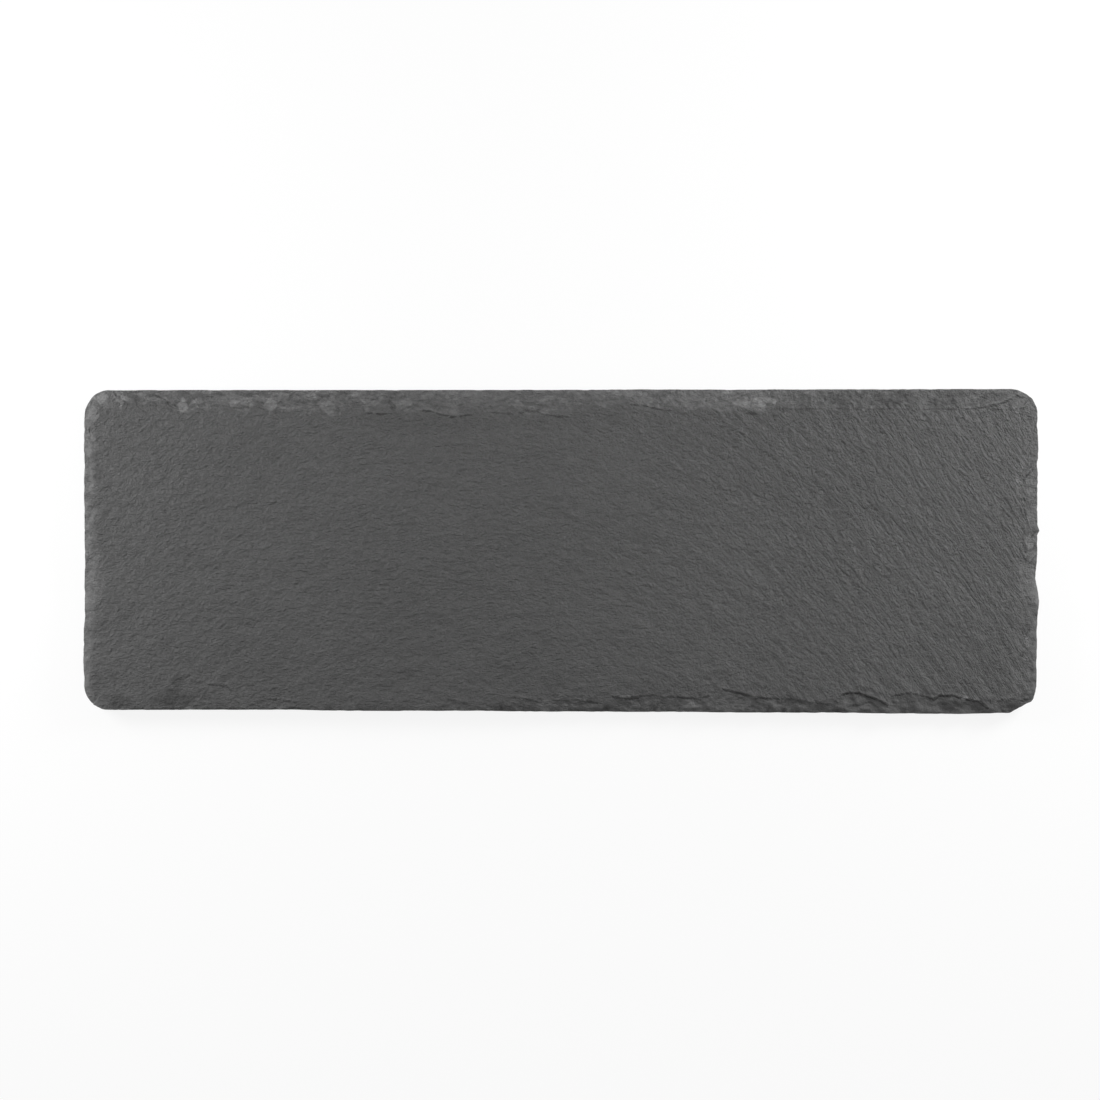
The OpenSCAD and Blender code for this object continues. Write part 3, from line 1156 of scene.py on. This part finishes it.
    def dressing(self, x: Array, y: Array) -> Array:
        """How deep the dressing of the edge has gone: worn rim, scars in layers, facets and ledges.

        The scars are shallower along the front, most so at its left, at the
        ends, at the right end and at the right of the back.

        Args:
            x, y: points near the slab's edge.

        Returns:
            The depth that it took off.
        """
        inset, side, place = self.shape.inset(x, y)
        scar, owner = self.scar_depth(x, y)
        front, right_end = side == Side.FRONT, side == Side.RIGHT
        front_left = front * smooth_step(-x, 0.0, 35.0)
        front_corner = front * smooth_step(x, 132.0, 138.0)
        back_right = (side == Side.BACK) * smooth_step(x, 90.0, 110.0)
        end_inside = (side % 2) * smooth_step(inset, 0.5, 5.0)
        scar = scar * (0.8 - 0.1 * front - 0.45 * front_left - 0.35 * end_inside)
        scar = scar * (1 - 0.5 * right_end - 0.25 * back_right - 0.4 * front_corner)
        rim_reach = 0.9 + gradient_noise(x / 6, y / 6, 91) * 0.3 - 0.4 * front_left - 0.35 * right_end
        scar = np.maximum(scar, (rim_reach - inset) * 0.9)
        share = np.clip(0.35 + 0.25 * gradient_noise(x / 11, y / 11, 101), 0.0, 0.8)
        scar = self.layered(scar, self.ball_phase[owner], share)
        facets = facet_noise(x / 4.2, y / 2.6, 111) * 0.15 + facet_noise(x / 1.8, y / 1.1, 121) * 0.06
        broken = facets * smooth_step(scar, 0.03, 0.5) * (1 - 0.4 * front)
        return np.maximum(scar + broken, 0) + self.ledge_depth(inset, side, place)

    def top_depth(self, x: Array, y: Array) -> tuple[Array, Array]:
        """Depth of the upper surface below its plane.

        Args:
            x, y: points on the slab.

        Returns:
            The whole depth, and the part of it that the dressing took off.
        """
        near = self.shape.inset(x, y)[0] < self.rim
        cut = np.zeros(x.shape)
        cut[near] = self.dressing(x[near], y[near])
        relief = self.face_relief(x, y) - self.allowance
        worn = 1 - 0.6 * smooth_step(cut, 0.0, 1.0)
        depth = np.maximum(cut - np.minimum(relief, 0) * worn, 0)
        return np.minimum(depth, self.shape.thickness - self.least_left), cut

    def bottom_lift(self, x: Array, y: Array) -> Array:
        """Height of the underside above its plane: relief that ends at each foot, and chips at the edge.

        Args:
            x, y: points on the slab.

        Returns:
            The height, 0 at the feet.
        """
        relief = fractal_noise(x / 70, y / 70, 2, 131) * 0.08 + fractal_noise(x / 14, y / 11, 3, 141) * 0.035
        relief = np.maximum(relief + 0.25, 0)
        distance = np.min([np.hypot(x - fx, y - fy) for fx, fy in self.feet], axis=0)
        inset, _, _ = self.shape.inset(x, y)
        chips = np.maximum(1.0 + gradient_noise(x / 3.5, y / 3.5, 151) * 0.8 - inset, 0) * 0.35
        return relief * smooth_step(distance, self.foot_radius + 0.5, self.foot_radius + 7) + chips

    def edge_path(self) -> Array:
        """The dressed outline with its small nicks, at even steps between the corners.

        The outline is cut at the points nearest to the corners of its box, and
        each part gets two points for each cell of the face's border.

        Returns:
            Its points, one to a row, counterclockwise from the front left corner.
        """
        outline = self.shape.outline()
        closed = np.vstack([outline, outline[:1]])
        at = np.concatenate([[0], np.cumsum(np.linalg.norm(np.diff(closed, axis=0), axis=1))])

        def points(steps: Array) -> Array:
            """The outline's points at these distances along it."""
            return np.stack([np.interp(steps, at, closed[:, 0]), np.interp(steps, at, closed[:, 1])], 1)

        fine = np.linspace(0, at[-1], TRACE_STEPS, endpoint=False)
        dense = points(fine)
        box = np.array([[-1, -1], [1, -1], [1, 1], [-1, 1]]) * [self.shape.length / 2, self.shape.width / 2]
        cuts = [fine[np.argmin(np.linalg.norm(dense - corner, axis=1))] for corner in box]
        cuts = [cuts[0] - at[-1] if cuts[0] > cuts[1] else cuts[0], *cuts[1:]]
        ends = [*cuts[1:], cuts[0] + at[-1]]
        counts = [2 * self.cells_x, 2 * self.cells_y] * 2
        steps = [np.linspace(*part, endpoint=False) for part in zip(cuts, ends, counts)]
        path = points(np.concatenate(steps) % at[-1])
        near_end = smooth_step(np.abs(path[:, 0]), self.shape.length / 2 - 12, self.shape.length / 2 - 4)
        nick = fractal_noise(*(path.T / 6.0), 3, 161, gain=0.7) * (0.05 + 0.07 * near_end) + 0.03
        return path + inward_of(path, 3) * np.maximum(nick, 0)[:, None]

    def face_grid(self, cells_x: int, cells_y: int) -> Array:
        """The points of an even grid inside the rim.

        Args:
            cells_x, cells_y: cells along and across.

        Returns:
            The points, one to a row, one run of x for each y.
        """
        halves = self.shape.length / 2 - self.rim, self.shape.width / 2 - self.rim
        lines = [np.linspace(-half, half, cells + 1) for half, cells in zip(halves, (cells_x, cells_y))]
        return np.stack([part.ravel() for part in np.meshgrid(*lines)], 1)

    def build(self) -> bpy.types.Object:
        """Builds the slab as rings from the upper face over the edge to the underside.

        Returns:
            The slab's object.
        """
        mesh = RingMesh()
        edge = self.edge_path()
        marks = dict.fromkeys(MARKS, np.zeros(len(edge)))
        marks |= {"dressed": np.ones(len(edge)), "broken": np.full(len(edge), WALL_BROKEN)}
        border, ring, lip = self.add_face(mesh, edge)
        foot, ring = self.add_wall(mesh, edge, ring, lip, marks)
        self.add_underside(mesh, foot, border, ring, marks)
        return mesh.object("slab_of_slate", self.low + self.shape.thickness)

    def add_face(self, mesh: "RingMesh", edge: Array) -> tuple[Array, Array, Array]:
        """Adds the upper face: a grid, then rings from its border to the edge.

        Ring f is the border times 1 - f plus the edge times f.

        Args:
            mesh: the mesh to add to.
            edge: the edge's points.

        Returns:
            The grid's border, the last ring's point numbers and its heights.
        """
        grid = self.face_grid(self.cells_x, self.cells_y)
        loop, faces = grid_faces(self.cells_x, self.cells_y)
        border = grid[loop]
        depth, cut = self.top_depth(*grid.T)
        start = mesh.add(grid, -depth, self.marks(grid, cut))
        mesh.faces(start + faces)
        ring = start + loop
        shares = np.concatenate([
            np.linspace(0, self.inner_share, self.inner_rows, endpoint=False),
            np.linspace(self.inner_share, 1, self.edge_rows + 1),
        ])
        for share in shares[1:]:
            points = in_between(border) * (1 - share) + edge * share
            depth, cut = self.top_depth(*points.T)
            ring = mesh.add_ring(ring, points, -depth, self.marks(points, cut))
        return border, ring, -depth

    def add_wall(
        self, mesh: "RingMesh", edge: Array, ring: Array, lip: Array, marks: dict[str, Array]
    ) -> tuple[Array, Array]:
        """Adds the wall: rings from the edge's lip down, moved in by noise in flat layers.

        Args:
            mesh: the mesh to add to.
            edge: the edge's points.
            ring: point numbers of the face's last ring.
            lip: its heights.
            marks: what the finish reads there.

        Returns:
            The points of the wall's foot, and their numbers.
        """
        floor = self.bottom_lift(*edge.T) - self.shape.thickness
        along = np.cumsum(np.linalg.norm(np.diff(edge, axis=0, prepend=edge[-1:]), axis=1))
        for row in range(1, self.wall_rows + 1):
            share = row / self.wall_rows
            height = lip * (1 - share) + floor * share
            layers = np.abs(gradient_noise(along / 5.0, height / 0.45, 171)) * 0.16
            depth = layers * math.sin(math.pi * min(share, 0.75))
            points = edge + inward_of(edge, 2) * depth[:, None]
            ring = mesh.add_ring(ring, points, height, marks)
        return points, ring

    def add_underside(
        self, mesh: "RingMesh", foot: Array, border: Array, ring: Array, marks: dict[str, Array]
    ) -> None:
        """Adds the underside: rings from the wall's foot in, then a coarser grid.

        Args:
            mesh: the mesh to add to.
            foot: the points of the wall's foot.
            border: the upper grid's border.
            ring: point numbers of the wall's last ring.
            marks: what the finish reads at the wall, which the first ring keeps.
        """
        rings = [(inset, in_between(border), foot) for inset in self.under_fine]
        rings += [(inset, border, foot[::2]) for inset in self.under_coarse]
        for inset, inner, outer in rings:
            share = 1 - inset / self.rim
            points = inner * (1 - share) + outer * share
            height = self.bottom_lift(*points.T) - self.shape.thickness
            ring = mesh.add_ring(ring, points, height, marks if inset == self.under_fine[0] else None)
        cells = self.cells_x // 2, self.cells_y // 2
        grid = self.face_grid(*cells)
        loop, faces = grid_faces(*cells)
        start = mesh.add(grid, self.bottom_lift(*grid.T) - self.shape.thickness)
        mesh.faces(start + faces[:, ::-1])
        mesh.join(ring, start + loop)

    def marks(self, points: Array, cut: Array) -> dict[str, Array]:
        """What the slate's finish reads at each point of the upper surface.

        Args:
            points: points on the slab.
            cut: how deep the dressing has gone there.

        Returns:
            dressed is 1 where the dressing has gone, and broken how roughly the
            stone broke there. bruise is how much lighter crushed stone is, or
            darker where it is negative. pale is the distance from the nearest
            crisp patch, in its sizes, and pale_tone that patch's tone. hollow_shade
            is painted shade, in hollows and at the foot of a step. away is the
            distance from the nearest crack, highlight_away that of the point a
            little below, where the painted highlight of the crack's rim lies, and
            crack_shade how dark the crack's line of painted shade is.
        """
        x, y = points.T
        inset, _, _ = self.shape.inset(x, y)
        full = 0.5 + 0.6 * smooth_step(-x, 134.0, 140.0) - 0.3 * smooth_step(x, 138.0, 142.0)
        dressed = smooth_step(cut, 0.02, full)
        near = inset < self.rim
        hollow = np.zeros(x.shape)
        hollow[near] = self.hollowness(x[near], y[near])
        shade, pale, pale_tone = self.patched(x, y)
        away, crack_shade = self.crack_shading(x, y)
        highlight_away, _ = self.crack_shading(x, y - HIGHLIGHT_REACH)
        return {
            "dressed": dressed,
            "broken": dressed * self.brokenness(x, y),
            "bruise": self.crushed(x, y, cut, dressed, hollow) + shade,
            "pale": pale,
            "pale_tone": pale_tone,
            # painted shade: darker in the hollows and at the foot of the dressed edge's steps
            "hollow_shade": smooth_step(hollow, 0.9, 3.5) * 0.2 * dressed,
            "crack_shade": crack_shade,
            "away": away,
            "highlight_away": highlight_away,
        }

    def crushed(self, x: Array, y: Array, cut: Array, dressed: Array, hollow: Array) -> Array:
        """How much lighter the dressing has made the stone.

        Crushed stone is light, more so where the cut is deep, on ridges and
        along the very edge, and less so at the front right, at the back right
        and at the right end, where only a strip inside the edge is lighter.
        Along the front the very edge is darker.

        Args:
            x, y: points on the slab.
            cut: how deep the dressing has gone there.
            dressed: 1 where it has gone.
            hollow: how hollow the surface is, negative on ridges.

        Returns:
            The share of the brightness that it adds.
        """
        inset, _, _ = self.shape.inset(x, y)
        ends = self.at_ends(x)
        right_end = ends * (x > 0)
        back_right = smooth_step(x, 50.0, 85.0) * (y > 0)
        back_corner = smooth_step(x, 80.0, 100.0) * (y > 0) * (1 - ends)
        front = smooth_step(-y, 40.0, 44.0) * (1 - ends)
        light = 0.24 - 0.02 * (y > 0) - 0.36 * back_right + 0.1 * smooth_step(cut, 0.8, 2.4)
        light = light - 0.32 * right_end * (1 - 0.6 * back_right) - 0.1 * front * smooth_step(x, 55.0, 85.0)
        light = light + (0.12 + 0.1 * ends - 0.3 * front) * (1 - smooth_step(inset, 0.4, 2.0))
        blotch = fractal_noise(x / 4.0, y / 1.8, 3, 201, gain=0.9) * (0.11 - 0.05 * back_right)
        ridge = smooth_step(-hollow, 0.5, 2.5) * 0.15
        outer = np.maximum(back_right, 0.5 * right_end) * (1 - smooth_step(inset, 4.0, 6.5))
        strip = right_end * smooth_step(inset, 1.5, 2.8) * (1 - smooth_step(inset, 6.0, 9.0))
        corner = back_corner * (1 - smooth_step(inset, 1.0, 5.0))
        return dressed * (light + blotch + ridge) - 0.11 * outer + 0.13 * strip - 0.15 * corner

    def at_ends(self, x: Array) -> Array:
        """1 over the slab's two ends and 0 between them, smooth where they begin."""
        return smooth_step(np.abs(x), 136.0, 142.0)

    def brokenness(self, x: Array, y: Array) -> Array:
        """How roughly dressed stone broke: most at the back left, little at the ends.

        Args:
            x, y: points on the slab.

        Returns:
            Strength of the broken stone's layers, flakes and chips.
        """
        back = smooth_step(y, -20.0, 20.0)
        left, right = smooth_step(-x, 40.0, 75.0), smooth_step(x, 85.0, 110.0)
        ends = self.at_ends(x)
        broken = 0.55 + back * (0.45 + 0.7 * left - 0.45 * right) - 0.25 * (1 - back) * right
        return broken * (1 - 0.6 * ends)

    def patched(self, x: Array, y: Array) -> tuple[Array, Array, Array]:
        """The patches, which are diamonds with a ragged border.

        The distance from a patch is |x| / length + |y| / width from its middle,
        after noise has moved the places.

        Args:
            x, y: points on the slab.

        Returns:
            The tone of the soft patches, the distance from the nearest crisp
            patch, up to 1, and that patch's tone.
        """
        ragged_x = x + fractal_noise(x / 2.0, y / 2.0, 2, 181) * 0.35
        ragged_y = y + fractal_noise(x / 2.0, y / 2.0, 2, 191) * 0.25
        shade, pale, pale_tone = np.zeros(x.shape), np.ones(x.shape), np.zeros(x.shape)
        for patch in PATCHES:
            off = np.abs(ragged_x - patch.x) / patch.length + np.abs(ragged_y - patch.y) / patch.width
            if patch.tone > CRISP_TONE:
                pale_tone = np.where(off < pale, patch.tone, pale_tone)
                pale = np.minimum(pale, off)
            else:
                shade = shade + (1 - smooth_step(off, 0.38, 0.56)) * patch.tone
        return shade, pale, pale_tone

    def crack_shading(self, x: Array, y: Array) -> tuple[Array, Array]:
        """The cracks' thin lines of painted shade.

        Args:
            x, y: points on the slab.

        Returns:
            Distance from the nearest one, less what makes it wider than a
            hairline, and how dark it is.
        """
        away = np.full(x.shape, FAR_AWAY)
        dark = np.zeros(x.shape)
        for crack_shade in CRACK_SHADES:
            distance = distance_to_line(x, y, np.array(crack_shade.line)) - (crack_shade.width - HAIRLINE) / 2
            nearer = distance < away
            away = np.where(nearer, distance, away)
            dark = np.where(nearer, crack_shade.dark, dark)
        return away, dark

    def hollowness(self, x: Array, y: Array) -> Array:
        """How hollow the upper surface is.

        It is four times the depth less that of four neighbours, over the square
        of the distance between them.

        Args:
            x, y: points near the slab's edge.

        Returns:
            Curvature in 1/mm, positive in hollows and negative on ridges.
        """
        ways = np.array([(1, 0), (-1, 0), (0, 1), (0, -1)]) * self.probe
        around = sum(self.top_depth(x + way_x, y + way_y)[0] for way_x, way_y in ways)
        return (self.top_depth(x, y)[0] * 4 - around) / self.probe**2


def distance_to_line(x: Array, y: Array, line: Array) -> Array:
    """Distance from a line through points: the least of the distances from its pieces.

    Args:
        x, y: places.
        line: the line's points, one to a row.

    Returns:
        The distance of each place.
    """
    nearest = np.full(x.shape, np.inf)
    for (ax, ay), (bx, by) in zip(line[:-1], line[1:]):
        along = ((x - ax) * (bx - ax) + (y - ay) * (by - ay)) / ((bx - ax) ** 2 + (by - ay) ** 2)
        along = np.clip(along, 0, 1)
        nearest = np.minimum(nearest, np.hypot(x - ax - along * (bx - ax), y - ay - along * (by - ay)))
    return nearest


def inward_of(ring: Array, reach: int) -> Array:
    """Directions inwards, square to the run of a counterclockwise ring.

    Args:
        ring: the ring's points, one to a row.
        reach: how many points on each side the run is taken over.

    Returns:
        A unit vector for each point.
    """
    along = np.roll(ring, -reach, 0) - np.roll(ring, reach, 0)
    return np.stack([-along[:, 1], along[:, 0]], 1) / np.linalg.norm(along, axis=1)[:, None]


def in_between(ring: Array) -> Array:
    """A closed ring with one more point in the middle of each edge."""
    middle = (ring + np.roll(ring, -1, 0)) / 2
    return np.stack([ring, middle], 1).reshape(-1, ring.shape[1])


def grid_faces(cells_x: int, cells_y: int) -> tuple[Array, Array]:
    """Numbers of the border and the faces of a grid of points.

    Args:
        cells_x, cells_y: cells along and across.

    Returns:
        The border's points, counterclockwise from the first corner, and the
        four corners of each cell in the same sense.
    """
    number = np.arange((cells_x + 1) * (cells_y + 1)).reshape(cells_y + 1, cells_x + 1)
    loop = np.concatenate([number[0, :-1], number[:-1, -1], number[-1, :0:-1], number[:0:-1, 0]])
    corners = [number[:-1, :-1], number[:-1, 1:], number[1:, 1:], number[1:, :-1]]
    return loop, np.stack([corner.ravel() for corner in corners], 1)


class RingMesh:
    """A mesh that is put together from rows of points, with values kept at its points."""

    def __init__(self) -> None:
        """Starts with nothing."""
        self.points: list[Array] = []
        self.marks: list[dict[str, Array]] = []
        self.polygons: list[Array] = []
        self.count = 0

    def add(self, points: Array, height: Array, marks: Optional[dict[str, Array]] = None) -> int:
        """Adds points.

        Args:
            points: x and y of each.
            height: z of each.
            marks: values to keep, by name, or None for zeros.

        Returns:
            The number of the first point.
        """
        first = self.count
        self.points.append(np.column_stack([points, height]))
        zeros = np.zeros(len(points))
        self.marks.append(marks or dict.fromkeys(MARKS, zeros))
        self.count += len(points)
        return first

    def faces(self, corners: Array) -> None:
        """Adds faces, one row of point numbers for each."""
        self.polygons.append(corners)

    def add_ring(
        self, before: Array, points: Array, height: Array, marks: Optional[dict[str, Array]] = None
    ) -> Array:
        """Adds a closed ring of points and joins it to the ring before it.

        Args:
            before: point numbers of the ring before.
            points, height, marks: as for add.

        Returns:
            The new ring's point numbers.
        """
        ring = self.add(points, height, marks) + np.arange(len(points))
        self.join(before, ring)
        return ring

    def join(self, one: Array, other: Array) -> None:
        """Fills the band between two closed rings with as many or twice as many points.

        Equal rings get four-sided faces. Where one ring has twice as many
        points, each of the other's edges gets three triangles.

        Args:
            one, other: the rings' point numbers, counterclockwise seen from above, in
                the order from the upper face over the edge to the underside.
        """
        one_next, other_next = np.roll(one, -1), np.roll(other, -1)
        if len(one) == len(other):
            self.faces(np.stack([one, other, other_next, one_next], 1))
        elif len(other) == 2 * len(one):
            even, odd, after = other[::2], other[1::2], np.roll(other[::2], -1)
            self.faces(np.stack([one, even, odd], 1))
            self.faces(np.stack([one, odd, one_next], 1))
            self.faces(np.stack([one_next, odd, after], 1))
        else:
            even, odd, after = one[::2], one[1::2], np.roll(one[::2], -1)
            self.faces(np.stack([even, other, odd], 1))
            self.faces(np.stack([other, other_next, odd], 1))
            self.faces(np.stack([odd, other_next, after], 1))

    def object(self, name: str, lift: float) -> bpy.types.Object:
        """Makes the object.

        Args:
            name: its name.
            lift: how far it is moved up, in millimetres.

        Returns:
            The object, at the origin, with smooth faces and sharp edges where it breaks.
        """
        points = np.concatenate(self.points)
        points[:, 2] += lift
        polygons = [face for corners in self.polygons for face in corners.tolist()]
        mesh = bpy.data.meshes.new(name)
        mesh.from_pydata((points * MM).tolist(), [], polygons)
        for key in self.marks[0]:
            values = np.concatenate([mark[key] for mark in self.marks]).astype(np.float32)
            mesh.attributes.new(key, "FLOAT", "POINT").data.foreach_set("value", values)
        mesh.polygons.foreach_set("use_smooth", np.ones(len(mesh.polygons), bool))
        mesh.set_sharp_from_angle(angle=SHARP_ANGLE)
        made = bpy.data.objects.new(name, mesh)
        bpy.context.scene.collection.objects.link(made)
        return made


# The board


class FootPlace(Enum):
    """The corner of the board that a foot is near, as the pieces' names say it."""

    FRONT_LEFT = "front_left"
    FRONT_RIGHT = "front_right"
    BACK_LEFT = "back_left"
    BACK_RIGHT = "back_right"


@dataclass(frozen=True)
class Foot:
    """One stick-on foot: its rubber pad and its adhesive film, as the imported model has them.

    Attributes:
        place: the corner of the board that it is near.
    """

    place: FootPlace

    @property
    def pad(self) -> str:
        """The pad's name."""
        return f"foot_pad_{self.place.value}"

    @property
    def film(self) -> str:
        """The film's name."""
        return f"adhesive_film_{self.place.value}"

    def middle(self) -> tuple[float, float]:
        """The foot's middle, in millimetres."""
        low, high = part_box(self.pad)
        return tuple((low + high).xy / 2 / MM)

    def radius(self) -> float:
        """The pad's radius, in millimetres."""
        low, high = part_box(self.pad)
        return (high.x - low.x) / 2 / MM

    def dress(self, rubber: bpy.types.Material, film: bpy.types.Material) -> list[str]:
        """Gives both pieces their finish.

        Args:
            rubber: the pad's material.
            film: the film's material.

        Returns:
            The pieces' names.
        """
        for name, material in ((self.pad, rubber), (self.film, film)):
            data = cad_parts[name].data
            data.materials.clear()
            data.materials.append(material)
        return [self.pad, self.film]


@dataclass(frozen=True)
class ServingBoard:
    """The whole board.

    Attributes:
        grain: the direction of the slate's grain.
    """

    grain: Grain = Grain()

    def build(self) -> list[str]:
        """Builds and dresses every piece.

        Returns:
            The pieces' names.
        """
        feet = [Foot(place) for place in FootPlace]
        low, high = (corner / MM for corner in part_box("slate_slab"))
        slab = SlateSlab(
            shape=SlabShape(length=high.x - low.x, width=high.y - low.y, thickness=high.z - low.z),
            low=low.z,
            grain=self.grain,
            feet=np.array([foot.middle() for foot in feet]),
            foot_radius=feet[0].radius(),
        )
        piece = slab.build()
        piece.data.materials.append(SlateFinish(self.grain).make())
        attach(piece, "root")
        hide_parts("slate_slab")
        rubber, film = RubberFinish().make(), FilmFinish().make()
        names = [piece.name]
        for foot in feet:
            names += foot.dress(rubber, film)
        return names


# Camera, light and floor


@dataclass(frozen=True)
class PhotoCamera:
    """A camera straight above the board, with a long lens.

    Attributes:
        frame_px: width of the photograph.
        board_px: where the middle of the board's box lies in it.
        px_per_mm: its scale on the board's upper face.
        lens: focal length, in millimetres.
        sensor: width of the sensor, in millimetres.
    """

    frame_px: float = 1100.0
    board_px: tuple[float, float] = (561.2, 551.5)
    px_per_mm: float = 3.192
    lens: float = 150.0
    sensor: float = 36.0

    def make(self, top: float) -> None:
        """Makes the scene's camera.

        Args:
            top: height of the board's upper face, in millimetres.
        """
        data = bpy.data.cameras.new("photo_camera")
        data.lens = self.lens
        data.sensor_width = self.sensor
        camera = bpy.data.objects.new("photo_camera", data)
        bpy.context.scene.collection.objects.link(camera)
        wide = self.frame_px / self.px_per_mm
        x = (self.frame_px / 2 - self.board_px[0]) / self.px_per_mm
        y = (self.board_px[1] - self.frame_px / 2) / self.px_per_mm
        camera.location = Vector((x, y, top + wide * self.lens / self.sensor)) * MM
        bpy.context.scene.camera = camera


@dataclass(frozen=True)
class Softbox:
    """A square lamp that the camera doesn't see.

    Attributes:
        name: its name.
        place: where it stands, in metres.
        size: its side, in metres.
        power: its power, in watts.
    """

    name: str
    place: tuple[float, float, float]
    size: float
    power: float

    def make(self) -> None:
        """Makes the lamp, aimed at the middle of the board."""
        data = bpy.data.lights.new(self.name, "AREA")
        data.size = self.size
        data.energy = self.power
        lamp = bpy.data.objects.new(self.name, data)
        bpy.context.scene.collection.objects.link(lamp)
        lamp.location = self.place
        lamp.rotation_mode = "QUATERNION"
        lamp.rotation_quaternion = (-Vector(self.place)).to_track_quat("-Z", "Y")
        lamp.visible_camera = False


@dataclass(frozen=True)
class Studio:
    """White surroundings, two softboxes beyond the board's back corners and a pale floor.

    Attributes:
        fill: strength of the light that the surroundings give.
        floor_size: side of the floor, in metres.
        floor_white: how much light the floor sends back.
        shadow_share: share of the seen floor that takes light and shadow.
        lamps: the softboxes.
    """

    fill: float = 0.262
    floor_size: float = 3.0
    floor_white: float = 0.9
    shadow_share: float = 0.12
    lamps: tuple[Softbox, ...] = (
        Softbox("left_softbox", (-0.36, 0.10, 0.18), 0.14, 1.2),
        Softbox("right_softbox", (0.36, 0.17, 0.18), 0.14, 1.7),
    )

    def seen_white(self, graph: Graph) -> Value:
        """Tells the rays that show the surroundings: from the camera, or by gloss or glass.

        Args:
            graph: the node tree to add to.

        Returns:
            1 for such a ray and 0 for the others.
        """
        path = graph.node("ShaderNodeLightPath").outputs
        camera = Value(graph, path["Is Camera Ray"])
        seen = camera.math("MAXIMUM", camera, Value(graph, path["Is Glossy Ray"]))
        return seen.math("MAXIMUM", seen, Value(graph, path["Is Transmission Ray"]))

    def make(self) -> None:
        """Makes the world, the lamps and the floor."""
        world = bpy.data.worlds.new("studio")
        bpy.context.scene.world = world
        graph = Graph(world)
        strength = self.seen_white(graph) * (1 - self.fill) + self.fill
        background = graph.node("ShaderNodeBackground", None, {"Color": (1, 1, 1, 1), "Strength": strength})
        graph.surface(background.outputs[0], "ShaderNodeOutputWorld")
        for lamp in self.lamps:
            lamp.make()
        self.make_floor()

    def make_floor(self) -> None:
        """Makes the floor, which shows nearly white and keeps a faint shadow."""
        half = self.floor_size / 2
        corners = [(-half, -half, 0), (half, -half, 0), (half, half, 0), (-half, half, 0)]
        mesh = bpy.data.meshes.new("floor")
        mesh.from_pydata(corners, [], [(0, 1, 2, 3)])
        floor = bpy.data.objects.new("floor", mesh)
        bpy.context.scene.collection.objects.link(floor)
        material = bpy.data.materials.new("floor")
        graph = Graph(material)
        white = (self.floor_white,) * 3 + (1,)
        matt = graph.node("ShaderNodeBsdfDiffuse", None, {"Color": white})
        glow = graph.node("ShaderNodeEmission", None, {"Color": (1, 1, 1, 1), "Strength": 1.0})
        share = self.seen_white(graph) * (1 - self.shadow_share)
        mix = graph.node("ShaderNodeMixShader", None, {0: share, 1: matt.outputs[0], 2: glow.outputs[0]})
        graph.surface(mix.outputs[0])
        mesh.materials.append(material)


def main() -> None:
    """Builds the board, the camera and the studio."""
    logging.basicConfig(level=logging.INFO, format="%(name)s: %(message)s")
    bpy.context.scene.view_settings.view_transform = "Standard"
    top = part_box("slate_slab")[1].z / MM
    PhotoCamera().make(top)
    Studio().make()
    for name in ServingBoard().build():
        LOG.info("built %s", name)


if __name__ == "__main__":
    main()
